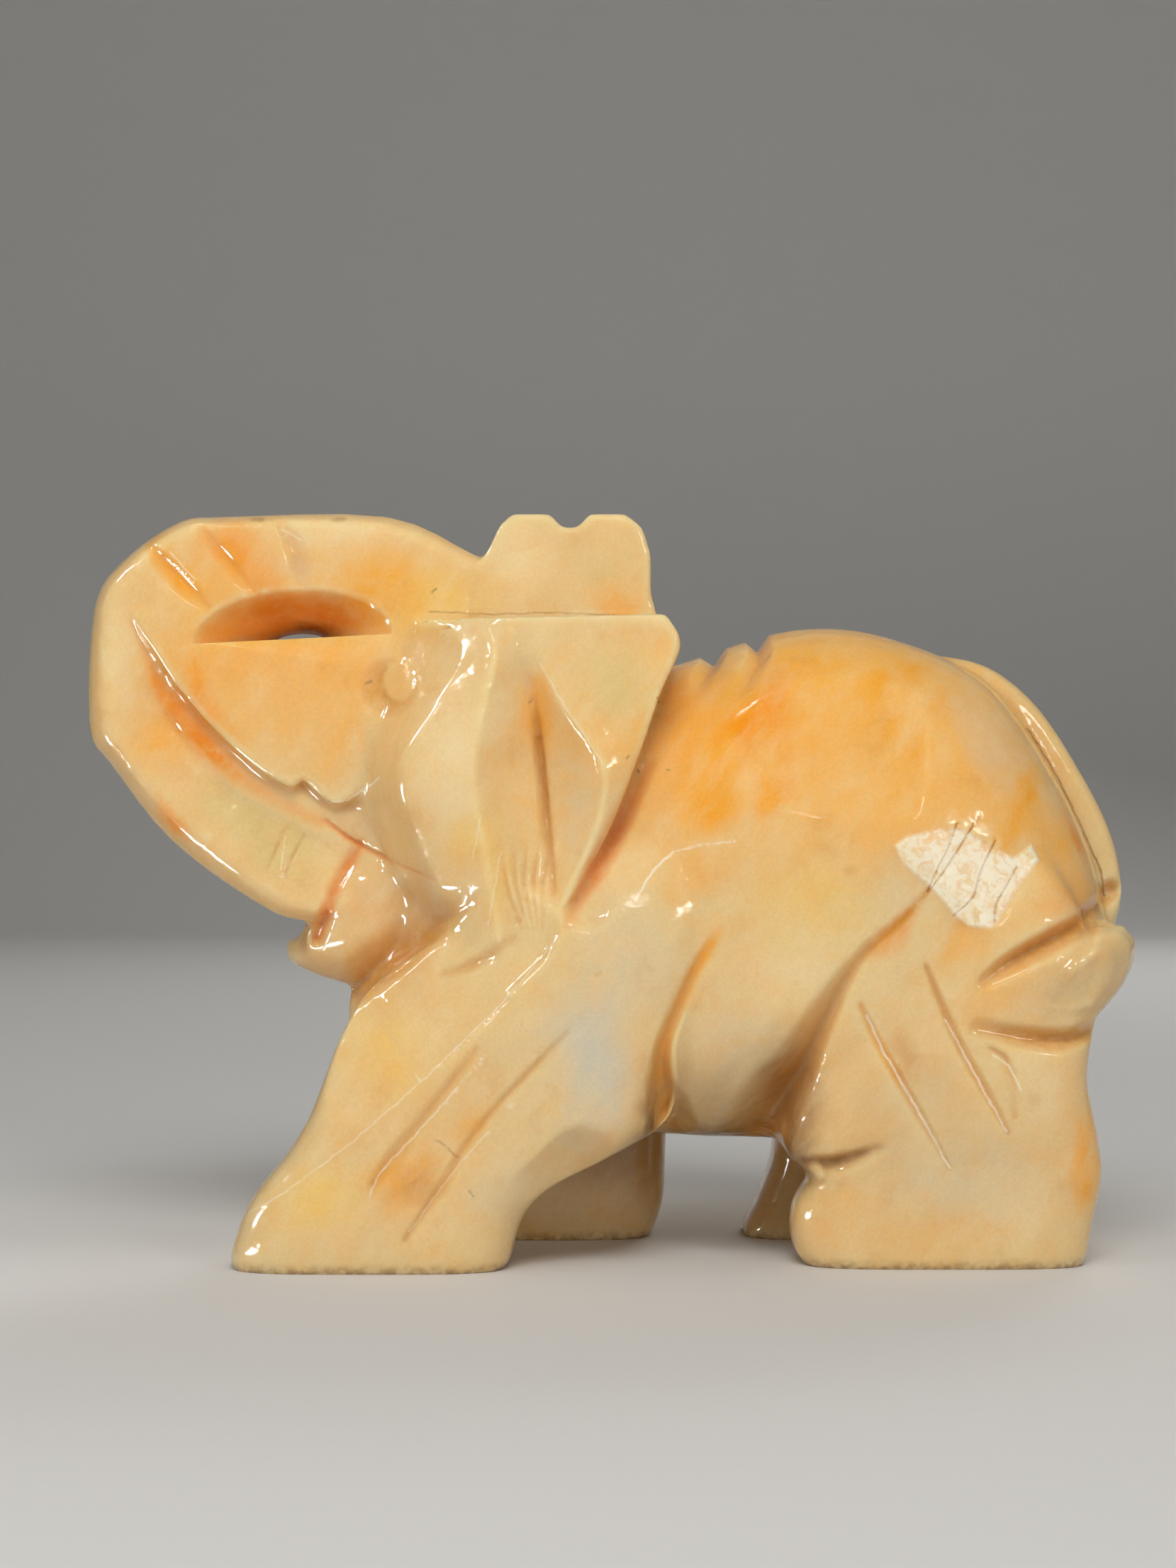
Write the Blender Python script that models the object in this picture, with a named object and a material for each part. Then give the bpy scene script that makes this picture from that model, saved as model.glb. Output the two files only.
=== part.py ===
"""A small elephant carved from one block of polished honey-coloured stone, with its trunk raised.

The carving is one solid. It faces -X and stands on Z = 0, with the origin under the middle of its box.
Pose and carving are written in carver's units, fiftieths of the length, as (x, z) seen from the left side.
"""

import math

import bmesh
import bpy
import numpy as np
from mathutils import Vector

# Driving dimensions, in metres
LENGTH = 0.0500
HEIGHT = 0.0356
WIDTH = 0.0206
LEG_GAP = 0.0044
TRUNK_WIDTH = 0.0088
FACE_WIDTH = 0.0090
CROWN_WIDTH = 0.0086
TAIL_WIDTH = 0.0034
TAIL_THICKNESS = 0.0018
EYE_DIAMETER = 0.0026
WEB_WIDTH = 0.0074
SLOT_LENGTH = 0.0096
SLOT_HEIGHT = 0.0023
HOLE_LENGTH = 0.0034
HOLE_HEIGHT = 0.0009
GROOVE_DEPTH = 0.0009
EYE_DEPTH = 0.0003
SOLE_CUT = 0.0002

# How coarsely the stone is worked
GRAIN = 0.00030

# One carver's unit along each axis, with the box of the carving in those units
X_UNIT = LENGTH / 50.0
Y_UNIT = WIDTH / 20.6
Z_UNIT = HEIGHT / 35.6

HONEY = (0.80, 0.55, 0.27, 1.0)

# The animal's two flanks, by the sign of their Y
NEAR, FAR = -1, 1

# The slot under the curled trunk: the middle of its floor as x and z, and the floor's rise towards the eye.
# Its rings give y as a share of the face's half width, and how far the slot has opened out from the hole.
SLOT_MIDDLE = (-14.9, 29.6)
SLOT_SLANT = 0.05
SLOT_RINGS = [(-1.5, 1.35), (-1.0, 1.0), (0.0, 0.0), (1.0, 1.0), (1.5, 1.35)]

# Flank sections of the trunk of the body: x, lowest, widest and highest z, and half the width
BODY = [
    (-12.4, 9.6, 11.2, 12.8, 2.2),
    (-10.5, 7.6, 12.0, 15.0, 5.2),
    (-7.0, 6.6, 13.0, 20.0, 7.0),
    (-3.0, 6.2, 15.0, 27.0, 7.6),
    (0.0, 6.0, 15.0, 27.9, 8.0),
    (3.0, 5.8, 14.5, 28.4, 8.9),
    (6.0, 5.7, 14.5, 29.4, 9.8),
    (9.0, 5.6, 14.5, 30.2, 10.1),
    (12.0, 5.6, 14.5, 30.2, 10.1),
    (15.0, 5.8, 14.5, 29.4, 10.0),
    (17.0, 6.4, 14.5, 28.5, 9.7),
    (18.5, 7.2, 14.5, 27.5, 9.3),
    (20.0, 8.6, 14.5, 25.7, 8.6),
    (21.5, 10.0, 14.6, 23.3, 7.5),
    (22.6, 11.2, 14.8, 21.2, 6.2),
    (23.4, 12.4, 15.2, 19.3, 4.4),
    (24.0, 13.6, 15.8, 17.4, 2.2),
]
HEAD = [
    (-12.6, 20.5, 25.0, 29.0, 3.6),
    (-11.0, 18.6, 24.0, 29.8, 4.8),
    (-8.0, 15.4, 20.0, 30.2, 6.0),
    (-4.0, 12.5, 18.0, 30.3, 7.2),
    (0.0, 12.5, 18.0, 29.4, 7.4),
]
NECK = [
    (-11.6, 13.6, 15.4, 17.0, 2.6),
    (-9.6, 12.2, 15.6, 20.0, 5.0),
    (-7.4, 11.0, 15.0, 21.0, 7.0),
    (-4.6, 10.0, 14.6, 21.0, 8.8),
    (-1.6, 10.0, 14.6, 20.0, 9.4),
    (1.6, 10.0, 14.0, 19.0, 9.6),
]
JAW = [
    (-15.5, 14.2, 14.6, 15.1, 0.7),
    (-14.8, 13.8, 14.7, 15.5, 2.3),
    (-13.6, 13.3, 15.6, 17.6, 3.6),
    (-11.6, 12.9, 16.4, 19.6, 4.5),
    (-9.0, 13.2, 17.0, 20.0, 5.0),
    (-6.0, 13.6, 17.0, 20.0, 5.4),
]

# Legs in level sections: z, front x, back x, and the outer face's distance from the middle plane
NEAR_FORELEG = [
    (0.0, -17.3, -5.0, 9.7),
    (0.5, -17.6, -4.5, 10.0),
    (1.7, -17.3, -4.2, 10.1),
    (3.0, -16.8, -3.6, 10.1),
    (4.2, -16.0, -2.2, 10.1),
    (5.4, -15.0, 0.2, 10.1),
    (7.0, -14.0, 2.8, 10.1),
    (9.0, -13.2, 3.4, 10.2),
    (11.0, -12.4, 3.8, 10.3),
    (13.0, -11.2, 4.4, 10.3),
    (15.0, -8.6, 4.8, 10.2),
    (17.0, -6.0, 5.0, 9.8),
    (19.0, -4.0, 4.6, 9.0),
    (21.0, -2.0, 3.6, 7.4),
]
FAR_FORELEG = [
    (0.0, -8.2, 2.0, 9.6),
    (0.5, -8.5, 2.4, 9.9),
    (2.0, -8.2, 2.9, 10.0),
    (4.0, -7.6, 3.0, 10.0),
    (6.0, -7.8, 3.1, 10.1),
    (8.0, -8.8, 3.4, 10.2),
    (10.0, -10.0, 3.8, 10.3),
    (12.5, -10.6, 4.3, 10.3),
    (15.0, -8.6, 4.8, 10.2),
    (17.0, -6.0, 5.0, 9.8),
    (19.0, -4.0, 4.6, 9.0),
    (21.0, -2.0, 3.6, 7.4),
]
NEAR_HINDLEG = [
    (0.0, 9.6, 22.2, 8.1),
    (0.5, 9.0, 22.5, 8.3),
    (1.7, 8.6, 22.7, 8.4),
    (3.2, 8.8, 23.0, 8.6),
    (4.4, 9.5, 23.2, 8.8),
    (5.4, 8.4, 23.1, 9.0),
    (7.0, 8.2, 22.8, 9.4),
    (9.0, 9.0, 22.4, 9.8),
    (11.0, 9.8, 22.6, 10.0),
    (13.0, 10.8, 23.0, 10.1),
    (15.0, 12.0, 22.6, 10.0),
    (17.0, 13.6, 22.0, 9.6),
    (19.5, 15.4, 20.6, 8.6),
]
FAR_HINDLEG = [
    (0.0, 6.9, 17.8, 8.4),
    (0.5, 6.8, 18.1, 8.6),
    (1.6, 7.4, 18.2, 8.8),
    (2.8, 7.9, 18.3, 9.0),
    (4.0, 8.3, 18.5, 9.2),
    (6.0, 8.5, 19.2, 9.5),
    (8.0, 8.8, 20.4, 9.8),
    (10.0, 9.4, 21.8, 10.0),
    (13.0, 10.8, 23.0, 10.1),
    (15.0, 12.0, 22.6, 10.0),
    (17.0, 13.6, 22.0, 9.6),
    (19.5, 15.4, 20.6, 8.6),
]

# The raised trunk from root to tip: outer edge x and z, inner edge x and z, shares of half TRUNK_WIDTH at the
# inner edge, at the bevel and at the outer edge, and how far across the bevel starts
TRUNK = [
    (-9.5, 16.6, -7.0, 20.0, 0.84, 1.00, 0.86, 0.80),
    (-14.4, 16.2, -11.4, 20.0, 0.80, 0.98, 0.82, 0.80),
    (-17.1, 17.3, -13.9, 21.3, 0.75, 0.95, 0.77, 0.78),
    (-20.9, 20.1, -17.2, 23.0, 0.73, 0.95, 0.68, 0.70),
    (-23.8, 23.7, -19.6, 25.2, 0.73, 0.93, 0.59, 0.72),
    (-24.8, 25.5, -20.4, 26.4, 0.73, 0.93, 0.59, 0.70),
    (-24.6, 31.2, -20.6, 29.0, 0.91, 0.95, 0.55, 0.76),
    (-23.1, 33.5, -20.0, 30.0, 1.02, 1.00, 0.59, 0.80),
    (-20.5, 35.25, -18.8, 30.8, 1.02, 1.00, 0.64, 0.84),
    (-18.4, 35.5, -17.0, 31.1, 1.02, 1.00, 0.68, 0.86),
    (-10.5, 35.5, -12.0, 30.6, 1.02, 1.00, 0.73, 0.86),
    (-6.0, 33.5, -7.5, 29.0, 1.02, 1.00, 0.82, 0.86),
]
BEVEL_STEPS, BEVEL_ROUND = (0.4, 0.75, 1.0), 2.2

# Flat pieces of the head, drawn as outlines
FACE = [
    (-22.6, 30.8), (-20.4, 31.4), (-18.0, 32.6), (-10.0, 32.6), (-6.6, 31.4), (-7.0, 23.0),
    (-9.4, 22.9), (-10.9, 23.0), (-12.0, 22.0), (-12.9, 21.7), (-13.6, 22.2), (-14.4, 22.9),
    (-15.0, 22.5), (-16.4, 23.3), (-17.7, 24.4), (-19.1, 25.8), (-20.6, 27.6),
]  # fmt: skip
WEB = [
    (-21.6, 29.0), (-21.2, 31.0), (-8.0, 31.0), (-7.0, 19.0), (-10.0, 18.6),
    (-14.4, 20.6), (-17.4, 22.2), (-19.4, 24.2), (-21.0, 26.4),
]  # fmt: skip
CROWN = [
    (-6.1, 33.2), (-5.6, 33.9), (-5.1, 35.0), (-4.5, 35.55), (-2.7, 35.55), (-2.1, 34.9),
    (-1.4, 34.9), (-0.8, 35.55), (0.9, 35.55), (1.7, 34.9), (2.1, 33.6), (2.1, 31.8),
    (2.4, 30.6), (2.4, 28.6), (-7.0, 28.6), (-7.0, 33.2),
]  # fmt: skip

# An ear's fold lines, each from the top of the ear to its tip: x, z and distance from the middle plane. The
# ear is rooted in the head at a distance of EAR_ROOT.
EAR_FOLDS = [
    [(-9.2, 30.4, 4.5), (-9.4, 29.0, 4.7), (-10.4, 26.4, 4.8), (-11.2, 23.2, 4.8), (-10.2, 19.0, 5.2),
     (-7.0, 14.8, 7.0)],
    [(-8.6, 30.5, 5.6), (-6.7, 29.0, 7.6), (-8.0, 26.4, 8.1), (-9.7, 23.1, 8.3), (-8.4, 19.2, 8.0),
     (-5.8, 14.6, 8.6)],
    [(-6.0, 30.5, 7.4), (-5.2, 29.0, 8.6), (-5.7, 26.4, 9.2), (-6.2, 23.2, 9.5), (-5.6, 19.4, 9.4),
     (-4.8, 14.5, 9.2)],
    [(-4.2, 30.5, 7.8), (-3.9, 29.0, 7.9), (-3.4, 26.4, 7.4), (-3.0, 23.4, 7.0), (-2.6, 19.8, 7.6),
     (-3.6, 15.0, 8.9)],
    [(-3.6, 30.5, 7.9), (-3.2, 29.0, 8.2), (-2.1, 26.4, 9.0), (-0.2, 23.4, 10.1), (-0.7, 20.2, 9.8),
     (-3.0, 15.4, 9.3)],
    [(2.7, 30.6, 8.9), (3.4, 29.2, 9.1), (2.5, 27.0, 9.4), (1.3, 23.6, 9.5), (-0.1, 20.2, 9.5),
     (-2.6, 15.8, 9.2)],
]  # fmt: skip
EAR_ROOT = 4.0

# The tail down the rump: x, y, z of its middle and its share of TAIL_THICKNESS and TAIL_WIDTH
TAIL = [
    (14.4, 0.0, 28.6, 0.4),
    (16.4, 0.0, 28.3, 0.7),
    (18.3, 0.0, 27.5, 1.0),
    (20.3, 0.0, 25.8, 1.0),
    (22.2, 0.0, 22.9, 1.0),
    (23.6, 0.0, 20.1, 1.0),
    (24.1, 0.0, 17.6, 1.0),
    (23.6, -0.6, 15.4, 1.0),
]
# The leaf-shaped tuft that lies on the near haunch, as an outline
TUFT = [
    (18.0, 12.7), (19.1, 13.2), (20.7, 14.2), (21.8, 15.2), (22.8, 16.1), (24.2, 16.1),
    (24.9, 15.4), (24.8, 14.4), (24.2, 13.3), (23.2, 12.3), (22.6, 11.8), (21.2, 11.5),
    (19.5, 11.7), (18.2, 12.2),
]  # fmt: skip
TUFT_MIDDLE = (21.6, 13.6)
# The tuft's layers as y and share of its outline, the x from where it sinks round the rump, and how fast
TUFT_LAYERS = [(0.6, 0.9), (-3.0, 1.0), (-8.6, 1.0), (-9.6, 0.86), (-10.1, 0.55)]
TUFT_SINKS_FROM, TUFT_SINKS_BY = 20.2, 0.13

# Facets ground on a flank: a crest line of x, z and distance from the middle plane, whether the stone falls
# away on its left (1) or right (-1), how steeply and how far, and the flanks that have it. Beyond the ends of
# its crest a facet runs out at the slope PAST_THE_END.
CRESTS = {
    "front of the near foreleg": (
        [(-17.2, 2.6, 9.9), (-15.0, 3.8, 10.0), (-11.7, 6.2, 10.1), (-8.4, 9.1, 10.1), (-4.5, 12.9, 10.0),
         (-2.6, 15.2, 9.8), (-1.8, 17.4, 9.8)], 1, 0.55, 12.0, (NEAR,)),
    "front of the far foreleg": (
        [(-9.0, 2.6, 9.9), (-8.2, 4.6, 10.0), (-7.0, 7.6, 10.1), (-5.6, 10.4, 10.1), (-3.8, 13.2, 10.0),
         (-2.6, 15.2, 9.8), (-1.8, 17.4, 9.8)], 1, 0.55, 12.0, (FAR,)),
    "under the near elbow": (
        [(-4.4, 4.4, 9.9), (-1.9, 6.8, 9.9), (0.8, 6.9, 9.9), (2.4, 8.8, 9.9)], -1, 0.8, 2.6, (NEAR,)),
    "top of the flank": (
        [(-0.4, 16.2, 9.6), (1.0, 18.1, 9.7), (2.6, 19.5, 9.8), (5.9, 20.3, 9.9), (9.5, 20.6, 9.9),
         (14.0, 20.2, 9.9)], 1, 0.45, 12.0, (NEAR, FAR)),
}  # fmt: skip
PAST_THE_END = 1.5

# Grooves ground into a flank: points along the line, half width, share of GROOVE_DEPTH, sides
GROOVES = {
    "behind the foreleg": (
        [(5.0, 16.0), (4.3, 13.9), (3.5, 12.2), (2.8, 10.6), (2.4, 9.0), (2.7, 6.0)], 1.2, 1.5, (NEAR, FAR)),
    "before the thigh": (
        [(15.2, 18.8), (13.1, 16.2), (11.8, 14.7), (10.8, 12.9), (9.5, 10.3), (8.5, 7.7), (7.7, 5.0)],
        1.1, 1.6, (NEAR, FAR)),
    "thigh, front": ([(11.8, 12.3), (13.1, 9.6), (14.4, 7.3), (15.7, 4.8)], 0.5, 0.9, (NEAR, FAR)),
    "thigh, back": ([(14.7, 14.1), (15.7, 11.6), (17.0, 9.3), (18.3, 6.6)], 0.5, 0.9, (NEAR, FAR)),
    "near ankle": ([(8.6, 4.4), (10.2, 5.0), (12.0, 5.8)], 0.7, 1.4, (NEAR,)),
    "near foreleg, front": (
        [(-6.5, 10.0), (-7.8, 8.0), (-8.8, 6.4), (-10.1, 5.1), (-10.8, 4.0)], 0.6, 0.6, (NEAR,)),
    "near foreleg, back": (
        [(-3.2, 10.3), (-4.5, 8.7), (-5.8, 6.7), (-6.8, 5.1), (-8.0, 3.6), (-9.4, 1.8)], 0.6, 0.6, (NEAR,)),
    "far foreleg, front": ([(-2.8, 10.4), (-3.8, 8.2), (-4.8, 6.0), (-5.4, 3.6)], 0.6, 0.6, (FAR,)),
    "far foreleg, back": ([(0.2, 10.4), (-0.8, 8.2), (-1.8, 6.0), (-2.6, 3.2)], 0.6, 0.6, (FAR,)),
    "above the tail tuft": ([(24.0, 17.2), (21.5, 15.9), (19.8, 14.8), (18.1, 13.7)], 0.9, 1.3, (NEAR,)),
    "under the tail tuft": ([(23.2, 11.4), (21.5, 11.0), (19.5, 11.1), (17.4, 11.5)], 0.9, 0.9, (NEAR,)),
    "end of the trunk": (
        [(-11.6, 20.0), (-12.3, 18.7), (-12.9, 17.3), (-13.4, 15.4)], 0.7, 1.0, (NEAR, FAR)),
    "top of the jaw": ([(-12.4, 20.4), (-11.0, 19.7), (-9.0, 18.8)], 0.6, 0.6, (NEAR, FAR)),
    "behind the ear": (
        [(2.0, 23.4), (1.1, 21.4), (0.2, 19.4), (-0.8, 17.6), (-2.0, 15.8)], 0.8, 1.1, (NEAR, FAR)),
    "ear fold": (
        [(-3.6, 27.6), (-3.1, 25.3), (-2.9, 22.7), (-2.6, 20.1), (-2.4, 17.0)], 0.5, 1.0, (NEAR, FAR)),
    "chest, upper": ([(-8.8, 13.6), (-6.8, 14.0), (-5.2, 14.5), (-2.9, 15.6)], 0.6, 0.5, (NEAR, FAR)),
    "trunk, first": ([(-21.8, 33.8), (-20.6, 32.4), (-19.0, 30.6)], 0.7, 0.4, (NEAR, FAR)),
    "trunk, second": ([(-19.2, 34.6), (-17.9, 33.0), (-16.6, 31.6)], 0.7, 0.4, (NEAR, FAR)),
    "trunk, third": ([(-16.8, 35.2), (-15.6, 33.6), (-14.7, 32.4)], 0.7, 0.4, (NEAR, FAR)),
}  # fmt: skip

# Each eye is a low dome, inside a ring that is cut at EYE_RING radii from its middle
EYE = (-9.9, 27.5)
EYE_DOME, EYE_RING, EYE_RING_HALF_WIDTH = 0.5, 1.2, 0.4

# Two notches cross the back behind the neck. Each is deepest at the top, and it leans as it runs down both
# flanks to its foot. It is cut towards a line inside the body.
BACK_NOTCHES = [5.2, 7.4]
NOTCH_TOP, NOTCH_FOOT, NOTCH_AIM = 29.0, 26.6, 22.0
NOTCH_HALF_WIDTH, NOTCH_LEAN, NOTCH_SHARE = 0.6, 0.5, 0.8


def place(x, y, z):
    """A point given in carver's units, in metres."""
    return Vector((x * X_UNIT, y * Y_UNIT, z * Z_UNIT))


def smooth_rows(rows, steps):
    """Rows of numbers drawn through the given ones on a Catmull-Rom curve, with steps to each span."""
    rows = np.array(rows, float)
    ends = np.vstack([2 * rows[0] - rows[1], rows, 2 * rows[-1] - rows[-2]])
    found = []
    for a, b, c, d in zip(ends, ends[1:], ends[2:], ends[3:]):
        for t in np.arange(steps) / steps:
            bend = (2 * a - 5 * b + 4 * c - d) * t**2 + (3 * b - 3 * c + d - a) * t**3
            found.append(0.5 * (2 * b + (c - a) * t + bend))
    return [*found, rows[-1]]


def rounded(angle, power):
    """A point on a unit superellipse: power 2 is a circle, and a higher one is squarer."""
    c, s = math.cos(angle), math.sin(angle)
    return math.copysign(abs(c) ** (2 / power), c), math.copysign(abs(s) ** (2 / power), s)


def loft(bm, rings):
    """A closed shell through rings of points, with a flat face on each end."""
    loops = [[bm.verts.new(p) for p in ring] for ring in rings]
    for low, high in zip(loops, loops[1:]):
        for k in range(len(low)):
            j = (k + 1) % len(low)
            bm.faces.new((low[k], low[j], high[j], high[k]))
    bm.faces.new(loops[0][::-1])
    bm.faces.new(loops[-1])


def add_barrel(bm, rows, upper_power, lower_power, count=36):
    """A barrel along X through upright sections, with its own roundness above and below its widest line."""
    rings = []
    for x, low, wide, high, half in smooth_rows(rows, 4):
        ring = []
        for k in range(count):
            angle = 2 * math.pi * k / count
            across, up = rounded(angle, upper_power if angle < math.pi else lower_power)
            ring.append(place(x, half * across, wide + up * ((high - wide) if up > 0 else (wide - low))))
        rings.append(ring)
    loft(bm, rings)


def add_leg(bm, rows, side, count=32, power=4.0):
    """A leg through level sections, from its sole into the body."""
    inner = LEG_GAP / 2 / Y_UNIT
    rings = []
    for z, front, back, outer in smooth_rows(rows, 3):
        ring = []
        for k in range(count):
            along, across = rounded(2 * math.pi * k / count, power)
            x = (front + back) / 2 + along * (back - front) / 2
            y = (outer + inner) / 2 + across * (outer - inner) / 2
            ring.append(place(x, side * y, z))
        rings.append(ring)
    loft(bm, rings)


def add_trunk(bm):
    """The raised trunk, curled back on to the forehead, with a bevel rolled off along its outer edge."""
    rings = []
    for outer_x, outer_z, inner_x, inner_z, foot, shoulder, rim, bevel in smooth_rows(TRUNK, 4):
        inner, outer = Vector((inner_x, inner_z)), Vector((outer_x, outer_z))
        near_half = [(0.0, foot), (bevel, shoulder)]
        for share in BEVEL_STEPS:
            near_half.append((bevel + (1 - bevel) * share, shoulder - (shoulder - rim) * share**BEVEL_ROUND))
        ring = []
        for share, half in near_half + [(share, -half) for share, half in near_half[::-1]]:
            spot = inner.lerp(outer, share)
            ring.append(place(spot.x, half * TRUNK_WIDTH / 2 / Y_UNIT, spot.y))
        rings.append(ring)
    loft(bm, rings)


def add_plate(bm, outline, width):
    """A flat piece with this outline, seen from the side, centred on the middle plane."""
    half = width / 2 / Y_UNIT
    loft(bm, [[place(x, y, z) for x, z in outline] for y in (-half, half)])


def add_ear(bm, side):
    """An ear of flat facets between its fold lines, rooted in the head."""
    folds = [smooth_rows(fold, 5) for fold in EAR_FOLDS]
    rings = []
    for spots in zip(*folds):
        face = [place(x, side * y, z) for x, z, y in spots]
        root = [place(x, side * EAR_ROOT, z) for x, z, y in spots[::-1]]
        rings.append(face + root)
    loft(bm, rings)


def add_tail(bm, count=16, power=3.0):
    """The tail, a raised strip over the rump."""
    rows = smooth_rows(TAIL, 5)
    spots = [place(*row[:3]) for row in rows]
    rings = []
    for k, spot in enumerate(spots):
        ahead = (spots[min(k + 1, len(spots) - 1)] - spots[max(k - 1, 0)]).normalized()
        out = Vector((-ahead.z, 0, ahead.x))
        ring = []
        for j in range(count):
            across, up = rounded(2 * math.pi * j / count, power)
            wide = Vector((0, across * TAIL_WIDTH / 2, 0))
            ring.append(spot + (wide + out * up * TAIL_THICKNESS / 2) * rows[k][3])
        rings.append(ring)
    loft(bm, rings)


def add_tuft(bm):
    """The leaf at the end of the tail, proud of the near haunch and bevelled all round."""
    middle = Vector(TUFT_MIDDLE)
    rings = []
    for layer, (y, share) in enumerate(TUFT_LAYERS):
        ring = []
        for x, z in TUFT:
            spot = middle + (Vector((x, z)) - middle) * share
            sunk = max(0.0, spot.x - TUFT_SINKS_FROM) ** 2 * TUFT_SINKS_BY if layer > 1 else 0.0
            ring.append(place(spot.x, y + sunk, spot.y))
        rings.append(ring)
    loft(bm, rings)


def add_body(bm):
    """The barrel, the neck and the four legs, as closed shells that overlap."""
    add_barrel(bm, BODY, upper_power=2.5, lower_power=2.7)
    add_barrel(bm, NECK, upper_power=2.6, lower_power=2.6)
    add_leg(bm, NEAR_FORELEG, NEAR)
    add_leg(bm, FAR_FORELEG, FAR)
    add_leg(bm, NEAR_HINDLEG, NEAR)
    add_leg(bm, FAR_HINDLEG, FAR)


def add_head_and_tail(bm):
    """What stands proud of the ground flanks: head, trunk, ears, crown, tail and tuft."""
    add_barrel(bm, HEAD, upper_power=2.8, lower_power=2.4)
    add_barrel(bm, JAW, upper_power=3.0, lower_power=2.4)
    add_trunk(bm)
    add_plate(bm, FACE, FACE_WIDTH)
    add_plate(bm, WEB, WEB_WIDTH)
    add_plate(bm, CROWN, CROWN_WIDTH)
    for side in (NEAR, FAR):
        add_ear(bm, side)
    add_tail(bm)
    add_tuft(bm)


def slot_cutter(steps=20):
    """The burr's path between trunk and face: wide at both faces, and a small hole in the middle."""
    rings = []
    for across, share in SLOT_RINGS:
        long = HOLE_LENGTH + share * (SLOT_LENGTH - HOLE_LENGTH)
        tall = HOLE_HEIGHT + share * (SLOT_HEIGHT - HOLE_HEIGHT)
        ring = []
        for k in range(steps + 1):
            angle = math.pi * k / steps
            off = -math.cos(angle) * long / 2
            z = SLOT_MIDDLE[1] * Z_UNIT + off * SLOT_SLANT + math.sin(angle) * tall
            ring.append(Vector((SLOT_MIDDLE[0] * X_UNIT + off, across * FACE_WIDTH / 2, z)))
        rings.append(ring)
    bm = bmesh.new()
    loft(bm, rings)
    bmesh.ops.recalc_face_normals(bm, faces=bm.faces)
    mesh = bpy.data.meshes.new("slot_cutter")
    bm.to_mesh(mesh)
    bm.free()
    cutter = bpy.data.objects.new("slot_cutter", mesh)
    bpy.context.scene.collection.objects.link(cutter)
    cutter.hide_render = True
    cutter.display_type = "WIRE"
    return cutter


def worked(obj):
    """Turns the object's modifiers into its mesh."""
    bpy.context.view_layer.update()
    graph = bpy.context.evaluated_depsgraph_get()
    mesh = bpy.data.meshes.new_from_object(obj.evaluated_get(graph))
    obj.modifiers.clear()
    obj.data = mesh


def add_stone(obj, add_shells):
    """Adds more closed shells to the object's mesh."""
    bm = bmesh.new()
    bm.from_mesh(obj.data)
    kept = len(bm.faces)
    add_shells(bm)
    bmesh.ops.recalc_face_normals(bm, faces=bm.faces[kept:])
    bm.to_mesh(obj.data)
    bm.free()


def fuse(obj, passes):
    """Makes one even skin of the object's shells, and rubs it smooth."""
    skin = obj.modifiers.new("one_stone", "REMESH")
    skin.mode = "VOXEL"
    skin.voxel_size = GRAIN
    polish = obj.modifiers.new("polish", "SMOOTH")
    polish.factor, polish.iterations = 0.5, passes
    worked(obj)


def along_path(points, path):
    """For each (x, z) point: its distance from the path, which side it is on, how far along its nearest
    spot is, from 0 to 1, and how far it lies past either end."""
    gap = np.full(len(points), np.inf)
    side, along, past = (np.zeros(len(points)) for _ in range(3))
    spans = [np.linalg.norm(b - a) for a, b in zip(path, path[1:])]
    done = 0.0
    for k, (a, b, span) in enumerate(zip(path, path[1:], spans)):
        t = (points - a) @ (b - a) / span**2
        held = np.clip(t, 0, 1)
        off = points - (a + held[:, None] * (b - a))
        far = np.linalg.norm(off, axis=1)
        nearer = far < gap
        gap[nearer] = far[nearer]
        turn = (b - a)[0] * (points - a)[:, 1] - (b - a)[1] * (points - a)[:, 0]
        side[nearer] = np.abs(turn[nearer]) / span * np.sign(turn[nearer])
        along[nearer] = (done + held[nearer] * span) / sum(spans)
        before, after = -t if k == 0 else 0 * t, t - 1 if k == len(spans) - 1 else 0 * t
        past[nearer] = np.clip(np.maximum(before, after), 0, None)[nearer] * span
        done += span
    return gap, side, along, past


def grind_facet(co, crest, turn, slope, reach, sides):
    """Grinds the flank down to a facet that falls away from a crest line on one side of it."""
    crest = np.array(smooth_rows(crest, 4)) * (X_UNIT, Z_UNIT, Y_UNIT)
    _, beside, along, past = along_path(co[:, [0, 2]], crest[:, :2])
    spans = np.linalg.norm(np.diff(crest[:, :2], axis=0), axis=1)
    marks = np.concatenate([[0], np.cumsum(spans)]) / spans.sum()
    level = np.interp(along, marks, crest[:, 2])
    fall = beside * turn
    limit = level - slope * fall + past * PAST_THE_END
    limit[(fall <= 0) | (fall > reach * X_UNIT)] = np.inf
    for side in sides:
        out = co[:, 1] * side
        co[:, 1] = side * np.where((out > LEG_GAP / 2), np.minimum(out, np.maximum(limit, LEG_GAP / 2)), out)


def grind_groove(co, normals, path, half_width, share, sides, ends=0.12):
    """Grinds a groove into the flank along a path, fading out at both ends."""
    line = np.array(smooth_rows(path, 4)) * (X_UNIT, Z_UNIT)
    gap, _, along, _ = along_path(co[:, [0, 2]], line)
    shape = np.clip(1 - gap / (half_width * X_UNIT), 0, 1)
    shape = shape * shape * (3 - 2 * shape)
    fade = np.clip(np.minimum(along, 1 - along) / ends, 0, 1) * share * GROOVE_DEPTH
    for side in sides:
        facing = np.clip(normals[:, 1] * side * 2, 0, 1) * (co[:, 1] * side > LEG_GAP / 4)
        co[:, 1] -= side * shape * fade * facing


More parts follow.
